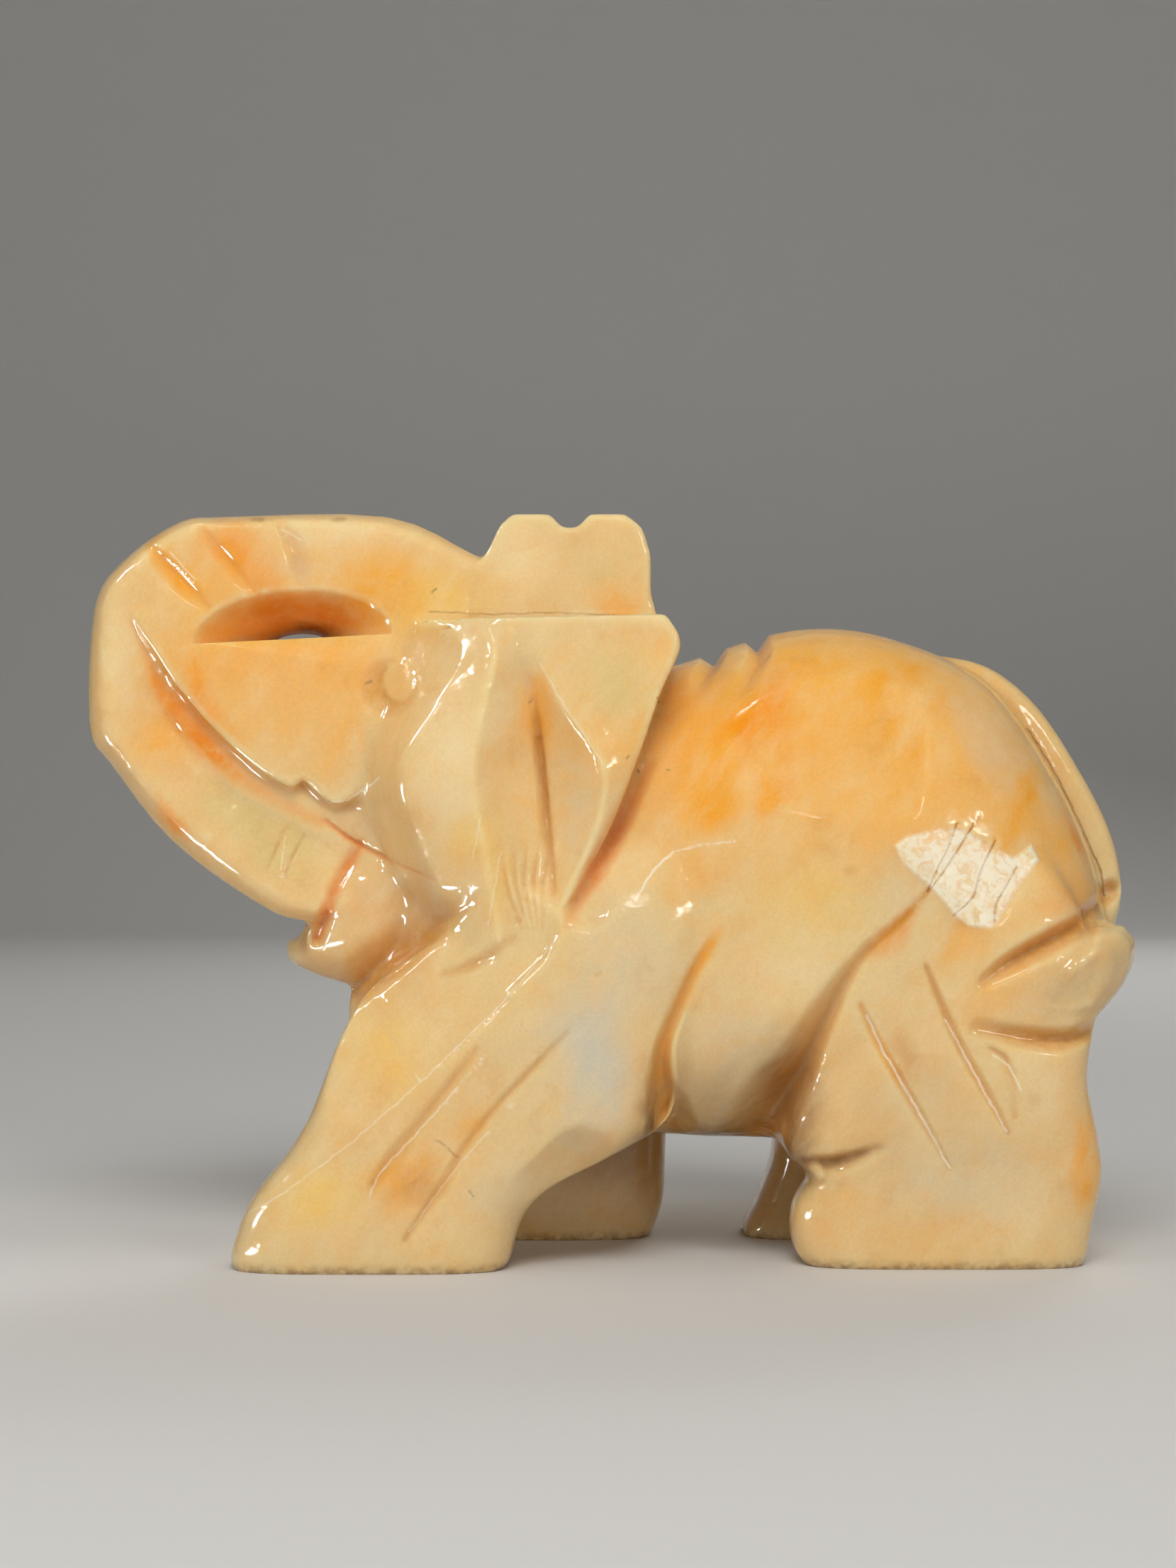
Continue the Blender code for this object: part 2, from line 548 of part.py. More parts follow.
def grind_notch(co, x):
    """Grinds a notch across the ridge of the back that runs a little way down both flanks."""
    lean = np.clip(NOTCH_TOP * Z_UNIT - co[:, 2], 0, None) * NOTCH_LEAN
    gap = np.abs(co[:, 0] - (x * X_UNIT - lean)) / (NOTCH_HALF_WIDTH * X_UNIT)
    height = (co[:, 2] / Z_UNIT - NOTCH_FOOT) / (NOTCH_TOP - NOTCH_FOOT)
    share = np.clip(1 - gap, 0, 1) * np.clip(height, 0, 1)
    inward = np.column_stack([np.zeros(len(co)), -co[:, 1], NOTCH_AIM * Z_UNIT - co[:, 2]])
    inward /= np.linalg.norm(inward, axis=1)[:, None] + 1e-9
    co += inward * (share * NOTCH_SHARE * GROOVE_DEPTH)[:, None]


def surface(obj):
    """The object's points and their normals."""
    points = np.array([v.co for v in obj.data.vertices])
    return points, np.array([v.normal for v in obj.data.vertices])


def move_surface(obj, co):
    obj.data.vertices.foreach_set("co", co.astype(np.float32).ravel())
    obj.data.update()


def grind_flanks(obj):
    """Facets on the body and the legs."""
    co, _ = surface(obj)
    for facet in CRESTS.values():
        grind_facet(co, *facet)
    move_surface(obj, co)


def carve(obj):
    """The last pass: grooves, notches and eyes."""
    co, normals = surface(obj)
    for groove in GROOVES.values():
        grind_groove(co, normals, *groove)
    for x in BACK_NOTCHES:
        grind_notch(co, x)

    gap = np.hypot(co[:, 0] - EYE[0] * X_UNIT, co[:, 2] - EYE[1] * Z_UNIT) / (EYE_DIAMETER / 2)
    ring = np.clip(1 - np.abs(gap - EYE_RING) / EYE_RING_HALF_WIDTH, 0, 1)
    dome = EYE_DOME * np.clip(1 - gap**2, 0, 1) - ring
    for side in (NEAR, FAR):
        co[:, 1] += side * dome * EYE_DEPTH * (normals[:, 1] * side > 0.5)
    move_surface(obj, co)


def set_down(obj):
    """Cuts the soles flat on Z = 0 and centres the carving over the origin."""
    bm = bmesh.new()
    bm.from_mesh(obj.data)
    sole = min(v.co.z for v in bm.verts) + SOLE_CUT
    every = [*bm.verts, *bm.edges, *bm.faces]
    bmesh.ops.bisect_plane(bm, geom=every, plane_co=(0, 0, sole), plane_no=(0, 0, -1), clear_outer=True)
    bmesh.ops.holes_fill(bm, edges=[e for e in bm.edges if e.is_boundary])
    box = [[pick(v.co[axis] for v in bm.verts) for pick in (min, max)] for axis in range(3)]
    bmesh.ops.translate(bm, verts=bm.verts, vec=(-sum(box[0]) / 2, -sum(box[1]) / 2, -sole))
    bmesh.ops.recalc_face_normals(bm, faces=bm.faces)
    bm.to_mesh(obj.data)
    bm.free()


def stone():
    """Polished stone: creamy honey, smooth and not metallic."""
    material = bpy.data.materials.new("honey_stone")
    material.use_nodes = True
    shader = material.node_tree.nodes["Principled BSDF"]
    shader.inputs["Base Color"].default_value = HONEY
    shader.inputs["Roughness"].default_value = 0.2
    shader.inputs["Metallic"].default_value = 0.0
    material.diffuse_color = HONEY
    return material


def thin_out(obj, most_triangles):
    """Joins the smallest triangles until there are no more than this many."""
    triangles = sum(len(p.vertices) - 2 for p in obj.data.polygons)
    facets = obj.modifiers.new("facets", "DECIMATE")
    facets.ratio = most_triangles / triangles
    worked(obj)


def main():
    for obj in list(bpy.data.objects):
        bpy.data.objects.remove(obj)

    elephant = bpy.data.objects.new("elephant_carving", bpy.data.meshes.new("elephant_carving"))
    bpy.context.scene.collection.objects.link(elephant)

    add_stone(elephant, add_body)
    fuse(elephant, passes=4)
    grind_flanks(elephant)
    add_stone(elephant, add_head_and_tail)
    fuse(elephant, passes=2)

    cut = elephant.modifiers.new("trunk_slot", "BOOLEAN")
    cut.object = slot_cutter()
    cut.operation = "DIFFERENCE"
    worked(elephant)
    carve(elephant)
    fuse(elephant, passes=1)
    thin_out(elephant, most_triangles=9400)
    set_down(elephant)

    elephant.data.shade_smooth()
    elephant.data.set_sharp_from_angle(angle=math.radians(40))
    elephant.data.materials.append(stone())


main()
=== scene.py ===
# %% [markdown]
# # A carved stone elephant
#
# The real object is a palm-size elephant ground out of one block of honey-coloured stone and polished until
# it shines. The carver worked with a burr: big masses first, then flat facets, then narrow grooves. This
# script works in the same order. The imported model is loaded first, because it says how big the piece is and
# where it stands.

import math
from contextlib import contextmanager

import bmesh
import bpy
import numpy as np
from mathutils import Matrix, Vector, noise


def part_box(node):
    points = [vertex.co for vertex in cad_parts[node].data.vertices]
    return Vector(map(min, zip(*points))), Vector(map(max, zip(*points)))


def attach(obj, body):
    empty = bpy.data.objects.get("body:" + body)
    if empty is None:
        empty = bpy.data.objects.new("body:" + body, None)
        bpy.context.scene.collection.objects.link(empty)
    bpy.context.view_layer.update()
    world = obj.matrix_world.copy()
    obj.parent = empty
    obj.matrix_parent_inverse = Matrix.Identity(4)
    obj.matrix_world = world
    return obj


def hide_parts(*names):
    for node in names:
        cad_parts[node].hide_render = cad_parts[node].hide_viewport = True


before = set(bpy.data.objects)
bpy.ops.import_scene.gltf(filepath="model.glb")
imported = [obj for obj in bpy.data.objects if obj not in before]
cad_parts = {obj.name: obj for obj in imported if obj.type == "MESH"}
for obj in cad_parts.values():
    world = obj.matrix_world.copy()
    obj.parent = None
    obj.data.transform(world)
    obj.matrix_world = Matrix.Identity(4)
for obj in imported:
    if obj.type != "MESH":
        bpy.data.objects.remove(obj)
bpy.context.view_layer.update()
low, high = (Vector(corner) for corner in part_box("elephant_carving"))
block = high - low
print("block in mm:", [round(1000 * side, 2) for side in block])

# %% [markdown]
# The carving is described in carver's units, which are close to a millimetre: 49.8 of them run from the
# trunk to the tail. x runs from head to tail, z goes up from the soles, and y is the distance from the
# middle plane. Every shape below is a short list of points in these units, so it follows the block if the
# block grows.

# %% Carver's units
UNIT = Vector((block.x / 49.8, block.y / 20.6, block.z / 35.5))
MM = block.x / 49.8
NEAR, FAR = -1, 1


def place(x, y, z):
    """A point given in carver's units, in metres."""
    return Vector((x * UNIT.x, y * UNIT.y, z * UNIT.z))


def smooth_rows(rows, steps):
    """Rows of numbers drawn through the given ones on a Catmull-Rom curve, with steps to each span."""
    rows = np.array(rows, float)
    ends = np.vstack([2 * rows[0] - rows[1], rows, 2 * rows[-1] - rows[-2]])
    found = []
    for a, b, c, d in zip(ends, ends[1:], ends[2:], ends[3:]):
        for t in np.arange(steps) / steps:
            bend = (2 * a - 5 * b + 4 * c - d) * t**2 + (3 * b - 3 * c + d - a) * t**3
            found.append(0.5 * (2 * b + (c - a) * t + bend))
    return np.array([*found, rows[-1]])


def rounded(angle, power):
    """A point on a unit superellipse: power 2 is a circle, and a higher one is squarer."""
    c, s = math.cos(angle), math.sin(angle)
    return math.copysign(abs(c) ** (2 / power), c), math.copysign(abs(s) ** (2 / power), s)


def loft(bm, rings):
    """A closed shell through rings of points, with a flat face on each end."""
    loops = [[bm.verts.new(p) for p in ring] for ring in rings]
    for under, over in zip(loops, loops[1:]):
        for k in range(len(under)):
            j = (k + 1) % len(under)
            bm.faces.new((under[k], under[j], over[j], over[k]))
    bm.faces.new(loops[0][::-1])
    bm.faces.new(loops[-1])


def added(name, data=None):
    """A new object in the scene. It gets an empty mesh if no other data is given."""
    obj = bpy.data.objects.new(name, bpy.data.meshes.new(name) if data is None else data)
    bpy.context.scene.collection.objects.link(obj)
    return obj


@contextmanager
def edited(obj):
    """The object's mesh, open for editing and written back at the end."""
    bm = bmesh.new()
    bm.from_mesh(obj.data)
    yield bm
    bm.to_mesh(obj.data)
    bm.free()


# %% [markdown]
# The body is a barrel lofted through upright sections. It could be a sphere pulled about with a lattice,
# but sections let each number mean something: how low the belly hangs, how high the back is, how wide the
# flank. The section is a superellipse, squarer than an oval, because the piece was sawn from a slab.

# %% Body, neck and legs
BODY = [  # x, lowest, widest and highest z, half the width
    (-12.4, 9.6, 11.2, 12.8, 2.2),
    (-10.5, 7.6, 12.0, 15.0, 5.2),
    (-7.0, 6.6, 13.0, 20.0, 7.0),
    (-3.0, 6.2, 15.0, 27.0, 7.6),
    (0.0, 6.0, 15.0, 27.9, 8.0),
    (3.0, 5.8, 14.5, 28.4, 8.9),
    (6.0, 5.7, 14.5, 29.4, 9.8),
    (9.0, 5.6, 14.5, 30.2, 10.1),
    (12.0, 5.6, 14.5, 30.2, 10.1),
    (15.0, 5.8, 14.5, 29.4, 10.0),
    (17.0, 6.4, 14.5, 28.5, 9.7),
    (18.5, 7.2, 14.5, 27.5, 9.3),
    (20.0, 8.6, 14.5, 25.7, 8.6),
    (21.5, 10.0, 14.6, 23.3, 7.5),
    (22.6, 11.2, 14.8, 21.2, 6.2),
    (23.4, 12.4, 15.2, 19.3, 4.4),
    (24.0, 13.6, 15.8, 17.4, 2.2),
]
NECK = [
    (-11.6, 13.6, 15.4, 17.0, 2.6),
    (-9.6, 12.2, 15.6, 20.0, 5.0),
    (-7.4, 11.0, 15.0, 21.0, 7.0),
    (-4.6, 10.0, 14.6, 21.0, 8.8),
    (-1.6, 10.0, 14.6, 20.0, 9.4),
    (1.6, 10.0, 14.0, 19.0, 9.6),
]
SHOULDER = [(15.0, -8.6, 4.8, 10.2), (17.0, -6.0, 5.0, 9.8), (19.0, -4.0, 4.6, 9.0), (21.0, -2.0, 3.6, 7.4)]
HIP = [(13.0, 10.8, 23.0, 10.1), (15.0, 12.0, 22.6, 10.0), (17.0, 13.6, 22.0, 9.6), (19.5, 15.4, 20.6, 8.6)]
LEGS = {  # z, front x, back x, distance of the outer face from the middle plane
    "near foreleg": (NEAR, [
        (0.0, -17.3, -5.0, 9.7),
        (0.5, -17.6, -4.5, 10.0),
        (1.7, -17.3, -4.2, 10.1),
        (3.0, -16.8, -3.6, 10.1),
        (4.2, -16.0, -2.2, 10.1),
        (5.4, -15.0, 0.2, 10.1),
        (7.0, -14.0, 2.8, 10.1),
        (9.0, -13.2, 3.4, 10.2),
        (11.0, -12.4, 3.8, 10.3),
        (13.0, -11.2, 4.4, 10.3),
        *SHOULDER,
    ]),
    "far foreleg": (FAR, [
        (0.0, -8.2, 2.0, 9.6),
        (0.5, -8.5, 2.4, 9.9),
        (2.0, -8.2, 2.9, 10.0),
        (4.0, -7.6, 3.0, 10.0),
        (6.0, -7.8, 3.1, 10.1),
        (8.0, -8.8, 3.4, 10.2),
        (10.0, -10.0, 3.8, 10.3),
        (12.5, -10.6, 4.3, 10.3),
        *SHOULDER,
    ]),
    "near hind leg": (NEAR, [
        (0.0, 9.6, 22.2, 8.1),
        (0.5, 9.0, 22.5, 8.3),
        (1.7, 8.6, 22.7, 8.4),
        (3.2, 8.8, 23.0, 8.6),
        (4.4, 9.5, 23.2, 8.8),
        (5.4, 8.4, 23.1, 9.0),
        (7.0, 8.2, 22.8, 9.4),
        (9.0, 9.0, 22.4, 9.8),
        (11.0, 9.8, 22.6, 10.0),
        *HIP,
    ]),
    "far hind leg": (FAR, [
        (0.0, 6.9, 17.8, 8.4),
        (0.5, 6.8, 18.1, 8.6),
        (1.6, 7.4, 18.2, 8.8),
        (2.8, 7.9, 18.3, 9.0),
        (4.0, 8.3, 18.5, 9.2),
        (6.0, 8.5, 19.2, 9.5),
        (8.0, 8.8, 20.4, 9.8),
        (10.0, 9.4, 21.8, 10.0),
        *HIP,
    ]),
}  # fmt: skip
LEG_GAP = 4.4


def add_barrel(bm, rows, upper_power, lower_power, count=48):
    """A barrel along x through upright sections, with its own roundness above and below its widest line."""
    rings = []
    for x, bottom, wide, top, half in smooth_rows(rows, 5):
        ring = []
        for k in range(count):
            angle = 2 * math.pi * k / count
            across, up = rounded(angle, upper_power if angle < math.pi else lower_power)
            ring.append(place(x, half * across, wide + up * ((top - wide) if up > 0 else (wide - bottom))))
        rings.append(ring)
    loft(bm, rings)


def add_leg(bm, side, rows, count=44, power=4.0):
    """A leg through level sections, from its sole up into the body."""
    inner = LEG_GAP / 2
    rings = []
    for z, front, back, outer in smooth_rows(rows, 4):
        ring = []
        for k in range(count):
            along, across = rounded(2 * math.pi * k / count, power)
            x = (front + back) / 2 + along * (back - front) / 2
            ring.append(place(x, side * ((outer + inner) / 2 + across * (outer - inner) / 2), z))
        rings.append(ring)
    loft(bm, rings)


def add_body(bm):
    add_barrel(bm, BODY, 2.5, 2.7)
    add_barrel(bm, NECK, 2.6, 2.6)
    for side, rows in LEGS.values():
        add_leg(bm, side, rows)


# %% [markdown]
# The head carries everything that stands proud: the trunk curled back on to the forehead, the flat face
# plate, the crown with its notch, and the ears. An ear is a few flat facets between fold lines, so it is
# lofted from the fold lines themselves. That keeps each ridge where the carver left it.

# %% Head, trunk, ears, tail
HEAD = [
    (-12.6, 20.5, 25.0, 29.0, 3.6),
    (-11.0, 18.6, 24.0, 29.8, 4.8),
    (-8.0, 15.4, 20.0, 30.2, 6.0),
    (-4.0, 12.5, 18.0, 30.3, 7.2),
    (0.0, 12.5, 18.0, 29.4, 7.4),
]
JAW = [
    (-15.5, 14.2, 14.6, 15.1, 0.7),
    (-14.8, 13.8, 14.7, 15.5, 2.3),
    (-13.6, 13.3, 15.6, 17.6, 3.6),
    (-11.6, 12.9, 16.4, 19.6, 4.5),
    (-9.0, 13.2, 17.0, 20.0, 5.0),
    (-6.0, 13.6, 17.0, 20.0, 5.4),
]
TRUNK = [  # outer x, z; inner x, z; half the width at inner edge, bevel and outer edge; bevel's start
    (-9.5, 16.6, -7.0, 20.0, 3.7, 4.4, 3.8, 0.80),
    (-14.4, 16.2, -11.4, 20.0, 3.5, 4.3, 3.6, 0.80),
    (-17.1, 17.3, -13.9, 21.3, 3.3, 4.2, 3.4, 0.78),
    (-20.9, 20.1, -17.2, 23.0, 3.2, 4.2, 3.0, 0.70),
    (-23.8, 23.7, -19.6, 25.2, 3.2, 4.1, 2.6, 0.72),
    (-24.8, 25.5, -20.4, 26.4, 3.2, 4.1, 2.6, 0.70),
    (-24.6, 31.2, -20.6, 29.0, 4.0, 4.2, 2.4, 0.76),
    (-23.1, 33.5, -20.0, 30.0, 4.5, 4.4, 2.6, 0.80),
    (-20.5, 35.25, -18.8, 30.8, 4.5, 4.4, 2.8, 0.84),
    (-18.4, 35.5, -17.0, 31.1, 4.5, 4.4, 3.0, 0.86),
    (-10.5, 35.5, -12.0, 30.6, 4.5, 4.4, 3.2, 0.86),
    (-6.0, 33.5, -7.5, 29.0, 4.5, 4.4, 3.6, 0.86),
]
BEVEL_STEPS, BEVEL_ROUND = (0.4, 0.75, 1.0), 2.2
FACE = [
    (-22.6, 30.8), (-20.4, 31.4), (-18.0, 32.6), (-10.0, 32.6), (-6.6, 31.4), (-7.0, 23.0),
    (-9.4, 22.9), (-10.9, 23.0), (-12.0, 22.0), (-12.9, 21.7), (-13.6, 22.2), (-14.4, 22.9),
    (-15.0, 22.5), (-16.4, 23.3), (-17.7, 24.4), (-19.1, 25.8), (-20.6, 27.6),
]  # fmt: skip
WEB = [
    (-21.6, 29.0), (-21.2, 31.0), (-8.0, 31.0), (-7.0, 19.0), (-10.0, 18.6),
    (-14.4, 20.6), (-17.4, 22.2), (-19.4, 24.2), (-21.0, 26.4),
]  # fmt: skip
CROWN = [
    (-6.1, 33.2), (-5.6, 33.9), (-5.1, 35.0), (-4.5, 35.55), (-2.7, 35.55), (-2.1, 34.9),
    (-1.4, 34.9), (-0.8, 35.55), (0.9, 35.55), (1.7, 34.9), (2.1, 33.6), (2.1, 31.8),
    (2.4, 30.6), (2.4, 28.6), (-7.0, 28.6), (-7.0, 33.2),
]  # fmt: skip
FACE_HALF, WEB_HALF, CROWN_HALF = 4.5, 3.7, 4.3
EAR_FOLDS = {  # x, z and distance from the middle plane, each from the top of the ear to its tip
    "foot of the front wall": [
        (-9.2, 30.4, 4.5), (-9.4, 29.0, 4.7), (-10.4, 26.4, 4.8), (-11.2, 23.2, 4.8), (-10.2, 19.0, 5.2),
        (-7.0, 14.8, 7.0)],
    "front ridge": [
        (-8.6, 30.5, 5.6), (-6.7, 29.0, 7.6), (-8.0, 26.4, 8.1), (-9.7, 23.1, 8.3), (-8.4, 19.2, 8.0),
        (-5.8, 14.6, 8.6)],
    "crest of the front panel": [
        (-6.0, 30.5, 7.4), (-5.2, 29.0, 8.6), (-5.7, 26.4, 9.2), (-6.2, 23.2, 9.5), (-5.6, 19.4, 9.4),
        (-4.8, 14.5, 9.2)],
    "valley": [
        (-4.2, 30.5, 7.8), (-3.9, 29.0, 7.9), (-3.4, 26.4, 7.4), (-3.0, 23.4, 7.0), (-2.6, 19.8, 7.6),
        (-3.6, 15.0, 8.9)],
    "back ridge": [
        (-3.6, 30.5, 7.9), (-3.2, 29.0, 8.2), (-2.1, 26.4, 9.0), (-0.2, 23.4, 10.1), (-0.7, 20.2, 9.8),
        (-3.0, 15.4, 9.3)],
    "back edge": [
        (2.7, 30.6, 8.9), (3.4, 29.2, 9.1), (2.5, 27.0, 9.4), (1.3, 23.6, 9.5), (-0.1, 20.2, 9.5),
        (-2.6, 15.8, 9.2)],
}  # fmt: skip
EAR_ROOT = 4.0
TAIL = [  # x, z and share of the full strip, from the small of the back down the rump
    (14.4, 28.6, 0.4),
    (16.4, 28.3, 0.7),
    (18.3, 27.5, 1.0),
    (20.3, 25.8, 1.0),
    (22.2, 22.9, 1.0),
    (23.6, 20.1, 1.0),
    (24.1, 17.6, 1.0),
    (23.6, 15.4, 1.0),
]
TAIL_HALF_WIDTH, TAIL_HALF_THICKNESS = 1.7, 0.9
TUFT = [
    (18.0, 12.7), (19.1, 13.2), (20.7, 14.2), (21.8, 15.2), (22.8, 16.1), (24.2, 16.1),
    (24.9, 15.4), (24.8, 14.4), (24.2, 13.3), (23.2, 12.3), (22.6, 11.8), (21.2, 11.5),
    (19.5, 11.7), (18.2, 12.2),
]  # fmt: skip
TUFT_MIDDLE = (21.6, 13.6)
TUFT_LAYERS = [(0.6, 0.9), (-3.0, 1.0), (-8.6, 1.0), (-9.6, 0.86), (-10.1, 0.55)]  # y, share of the outline
TUFT_TURNS, TUFT_SINKS = 20.2, 0.13


def add_trunk(bm):
    """The raised trunk: flats between its ground corners, with a bevel rolled off along its outer edge."""
    rings = []
    for outer_x, outer_z, inner_x, inner_z, foot, shoulder, rim, bevel in smooth_rows(TRUNK, 4):
        inner, outer = Vector((inner_x, inner_z)), Vector((outer_x, outer_z))
        near_half = [(0.0, foot), (bevel, shoulder)]
        for share in BEVEL_STEPS:
            near_half.append((bevel + (1 - bevel) * share, shoulder - (shoulder - rim) * share**BEVEL_ROUND))
        ring = []
        for share, half in near_half + [(share, -half) for share, half in near_half[::-1]]:
            spot = inner.lerp(outer, share)
            ring.append(place(spot.x, half, spot.y))
        rings.append(ring)
    loft(bm, rings)


def add_plate(bm, outline, half):
    """A flat piece with this outline, seen from the side, centred on the middle plane."""
    loft(bm, [[place(x, y, z) for x, z in outline] for y in (-half, half)])


def add_ear(bm, side):
    folds = [smooth_rows(fold, 6) for fold in EAR_FOLDS.values()]
    rings = []
    for spots in zip(*folds):
        face = [place(x, side * y, z) for x, z, y in spots]
        root = [place(x, side * EAR_ROOT, z) for x, z, y in spots[::-1]]
        rings.append(face + root)
    loft(bm, rings)


def add_tail(bm, count=24, power=3.0):
    """The tail, a raised strip over the rump."""
    rows = smooth_rows(TAIL, 6)
    spots = [place(x, 0, z) for x, z, share in rows]
    rings = []
    for k, spot in enumerate(spots):
        ahead = (spots[min(k + 1, len(spots) - 1)] - spots[max(k - 1, 0)]).normalized()
        out = Vector((-ahead.z, 0, ahead.x)) * TAIL_HALF_THICKNESS * MM
        wide = Vector((0, TAIL_HALF_WIDTH * UNIT.y, 0))
        ring = []
        for j in range(count):
            across, up = rounded(2 * math.pi * j / count, power)
            ring.append(spot + (wide * across + out * up) * rows[k][2])
        rings.append(ring)
    loft(bm, rings)


def add_tuft(bm):
    """The leaf at the end of the tail, proud of the near haunch and bevelled all round."""
    middle = Vector(TUFT_MIDDLE)
    rings = []
    for y, share in TUFT_LAYERS:
        ring = []
        for x, z in TUFT:
            spot = middle + (Vector((x, z)) - middle) * share
            sunk = max(0.0, spot.x - TUFT_TURNS) ** 2 * TUFT_SINKS if y < TUFT_LAYERS[1][0] else 0.0
            ring.append(place(spot.x, y + sunk, spot.y))
        rings.append(ring)
    loft(bm, rings)


def add_head_and_tail(bm):
    add_barrel(bm, HEAD, 2.8, 2.4)
    add_barrel(bm, JAW, 3.0, 2.4)
    add_trunk(bm)
    add_plate(bm, FACE, FACE_HALF)
    add_plate(bm, WEB, WEB_HALF)
    add_plate(bm, CROWN, CROWN_HALF)
    for side in (NEAR, FAR):
        add_ear(bm, side)
    add_tail(bm)
    add_tuft(bm)


# %% [markdown]
# Overlapping shells are not yet one stone. A voxel Remesh gives all of them one even skin, and a few Smooth
# passes take off the steps, as the first coarse polish does. A Boolean union would keep every hard seam.

# %% One skin


def worked(obj):
    """Turns the object's modifiers into its mesh."""
    bpy.context.view_layer.update()
    graph = bpy.context.evaluated_depsgraph_get()
    mesh = bpy.data.meshes.new_from_object(obj.evaluated_get(graph))
    obj.modifiers.clear()
    obj.data = mesh


def add_stone(obj, add_shells):
    """Adds more closed shells to the object's mesh."""
    with edited(obj) as bm:
        kept = len(bm.faces)
        add_shells(bm)
        bmesh.ops.recalc_face_normals(bm, faces=bm.faces[kept:])


RUB, FIRM_RUB = 0.5, 0.7  # how far one pass moves a point towards its neighbours


def fuse(obj, grain, passes):
    """One even skin over the object's shells, rubbed smooth. grain is in carver's units."""
    skin = obj.modifiers.new("one_stone", "REMESH")
    skin.mode = "VOXEL"
    skin.voxel_size = grain * MM
    rub = obj.modifiers.new("rub", "SMOOTH")
    rub.factor, rub.iterations = RUB, passes
    worked(obj)


def surface(obj):
    """The object's points and their normals, as arrays."""
    count = len(obj.data.vertices)
    co, normals = np.empty(count * 3, np.float32), np.empty(count * 3, np.float32)
    obj.data.vertices.foreach_get("co", co)
    obj.data.vertex_normals.foreach_get("vector", normals)
    return co.reshape(-1, 3).astype(float), normals.reshape(-1, 3).astype(float)


def move_surface(obj, co):
    obj.data.vertices.foreach_set("co", co.astype(np.float32).ravel())
    obj.data.update()


def from_the_side(co):
    """The points' x and z in carver's units."""
    return co[:, [0, 2]] / (UNIT.x, UNIT.z)


def along_path(points, rows):
    """For each (x, z) point: its distance from the path, the side it is on, how far it lies past either
    end, and the other numbers of the rows, read at the nearest spot."""
    gap = np.full(len(points), np.inf)
    side, past = np.zeros(len(points)), np.zeros(len(points))
    beside = np.zeros((len(points), rows.shape[1] - 2))
    last = len(rows) - 2
    for k, (first, second) in enumerate(zip(rows, rows[1:])):
        a, b = first[:2], second[:2]
        span = np.linalg.norm(b - a)
        t = (points - a) @ (b - a) / span**2
        held = np.clip(t, 0, 1)
        away = np.linalg.norm(points - (a + held[:, None] * (b - a)), axis=1)
        nearer = away < gap
        gap[nearer] = away[nearer]
        turn = (b - a)[0] * (points - a)[:, 1] - (b - a)[1] * (points - a)[:, 0]
        side[nearer] = turn[nearer] / span
        before, after = -t if k == 0 else 0 * t, t - 1 if k == last else 0 * t
        past[nearer] = np.clip(np.maximum(before, after), 0, None)[nearer] * span
        beside[nearer] = (first[2:] + held[:, None] * (second[2:] - first[2:]))[nearer]
    return gap, side, past, beside.T


# %% [markdown]
# Next come the facets. A carver holds the flank against a flat wheel, so a facet is a plane that starts at
# a crest line and falls away from it. Here every point that stands proud of the plane is pushed back to it.

# %% Facets on the flanks
CRESTS = {  # crest line x, z, y; falls away on its left (1) or right (-1); slope; reach; flanks
    "front of the near foreleg": (
        [(-17.2, 2.6, 9.9), (-15.0, 3.8, 10.0), (-11.7, 6.2, 10.1), (-8.4, 9.1, 10.1), (-4.5, 12.9, 10.0),
         (-2.6, 15.2, 9.8), (-1.8, 17.4, 9.8)], 1, 0.55, 12.0, (NEAR,)),
    "front of the far foreleg": (
        [(-9.0, 2.6, 9.9), (-8.2, 4.6, 10.0), (-7.0, 7.6, 10.1), (-5.6, 10.4, 10.1), (-3.8, 13.2, 10.0),
         (-2.6, 15.2, 9.8), (-1.8, 17.4, 9.8)], 1, 0.55, 12.0, (FAR,)),
    "under the near elbow": (
        [(-4.4, 4.4, 9.9), (-1.9, 6.8, 9.9), (0.8, 6.9, 9.9), (2.4, 8.8, 9.9)], -1, 0.8, 2.6, (NEAR,)),
    "top of the flank": (
        [(-0.4, 16.2, 9.6), (1.0, 18.1, 9.7), (2.6, 19.5, 9.8), (5.9, 20.3, 9.9), (9.5, 20.6, 9.9),
         (14.0, 20.2, 9.9)], 1, 0.45, 12.0, (NEAR, FAR)),
}  # fmt: skip
PAST_THE_END = 1.5  # how fast a facet fades out beyond the ends of its crest


def grind_facet(co, crest, turn, slope, reach, sides):
    """Grinds the flank down to a facet that falls away from a crest line on one side of it."""
    crest = smooth_rows(crest, 5)
    gap, beside, past, (height,) = along_path(from_the_side(co), crest)
    fall = beside * turn
    limit = height - slope * fall + past * PAST_THE_END
    limit[(fall <= 0) | (fall > reach)] = np.inf
    limit = np.maximum(limit, LEG_GAP / 2)
    for side in sides:
        out = co[:, 1] / UNIT.y * side
        co[:, 1] = side * UNIT.y * np.where(out > LEG_GAP / 2, np.minimum(out, limit), out)


elephant = added("carved_elephant")
add_stone(elephant, add_body)
fuse(elephant, grain=0.28, passes=4)
points, _ = surface(elephant)
for facet in CRESTS.values():
    grind_facet(points, *facet)
move_surface(elephant, points)
add_stone(elephant, add_head_and_tail)
fuse(elephant, grain=0.20, passes=4)
print("skin:", len(elephant.data.polygons), "faces")

# %% [markdown]
# Between the curled trunk and the face the burr went in from both sides and just broke through. The cutter
# is that path: wide at each face and a sliver in the middle plane. A Boolean takes it out. The slot's
# ceiling and the foot of the ear were polished soft, so both are rubbed afterwards.

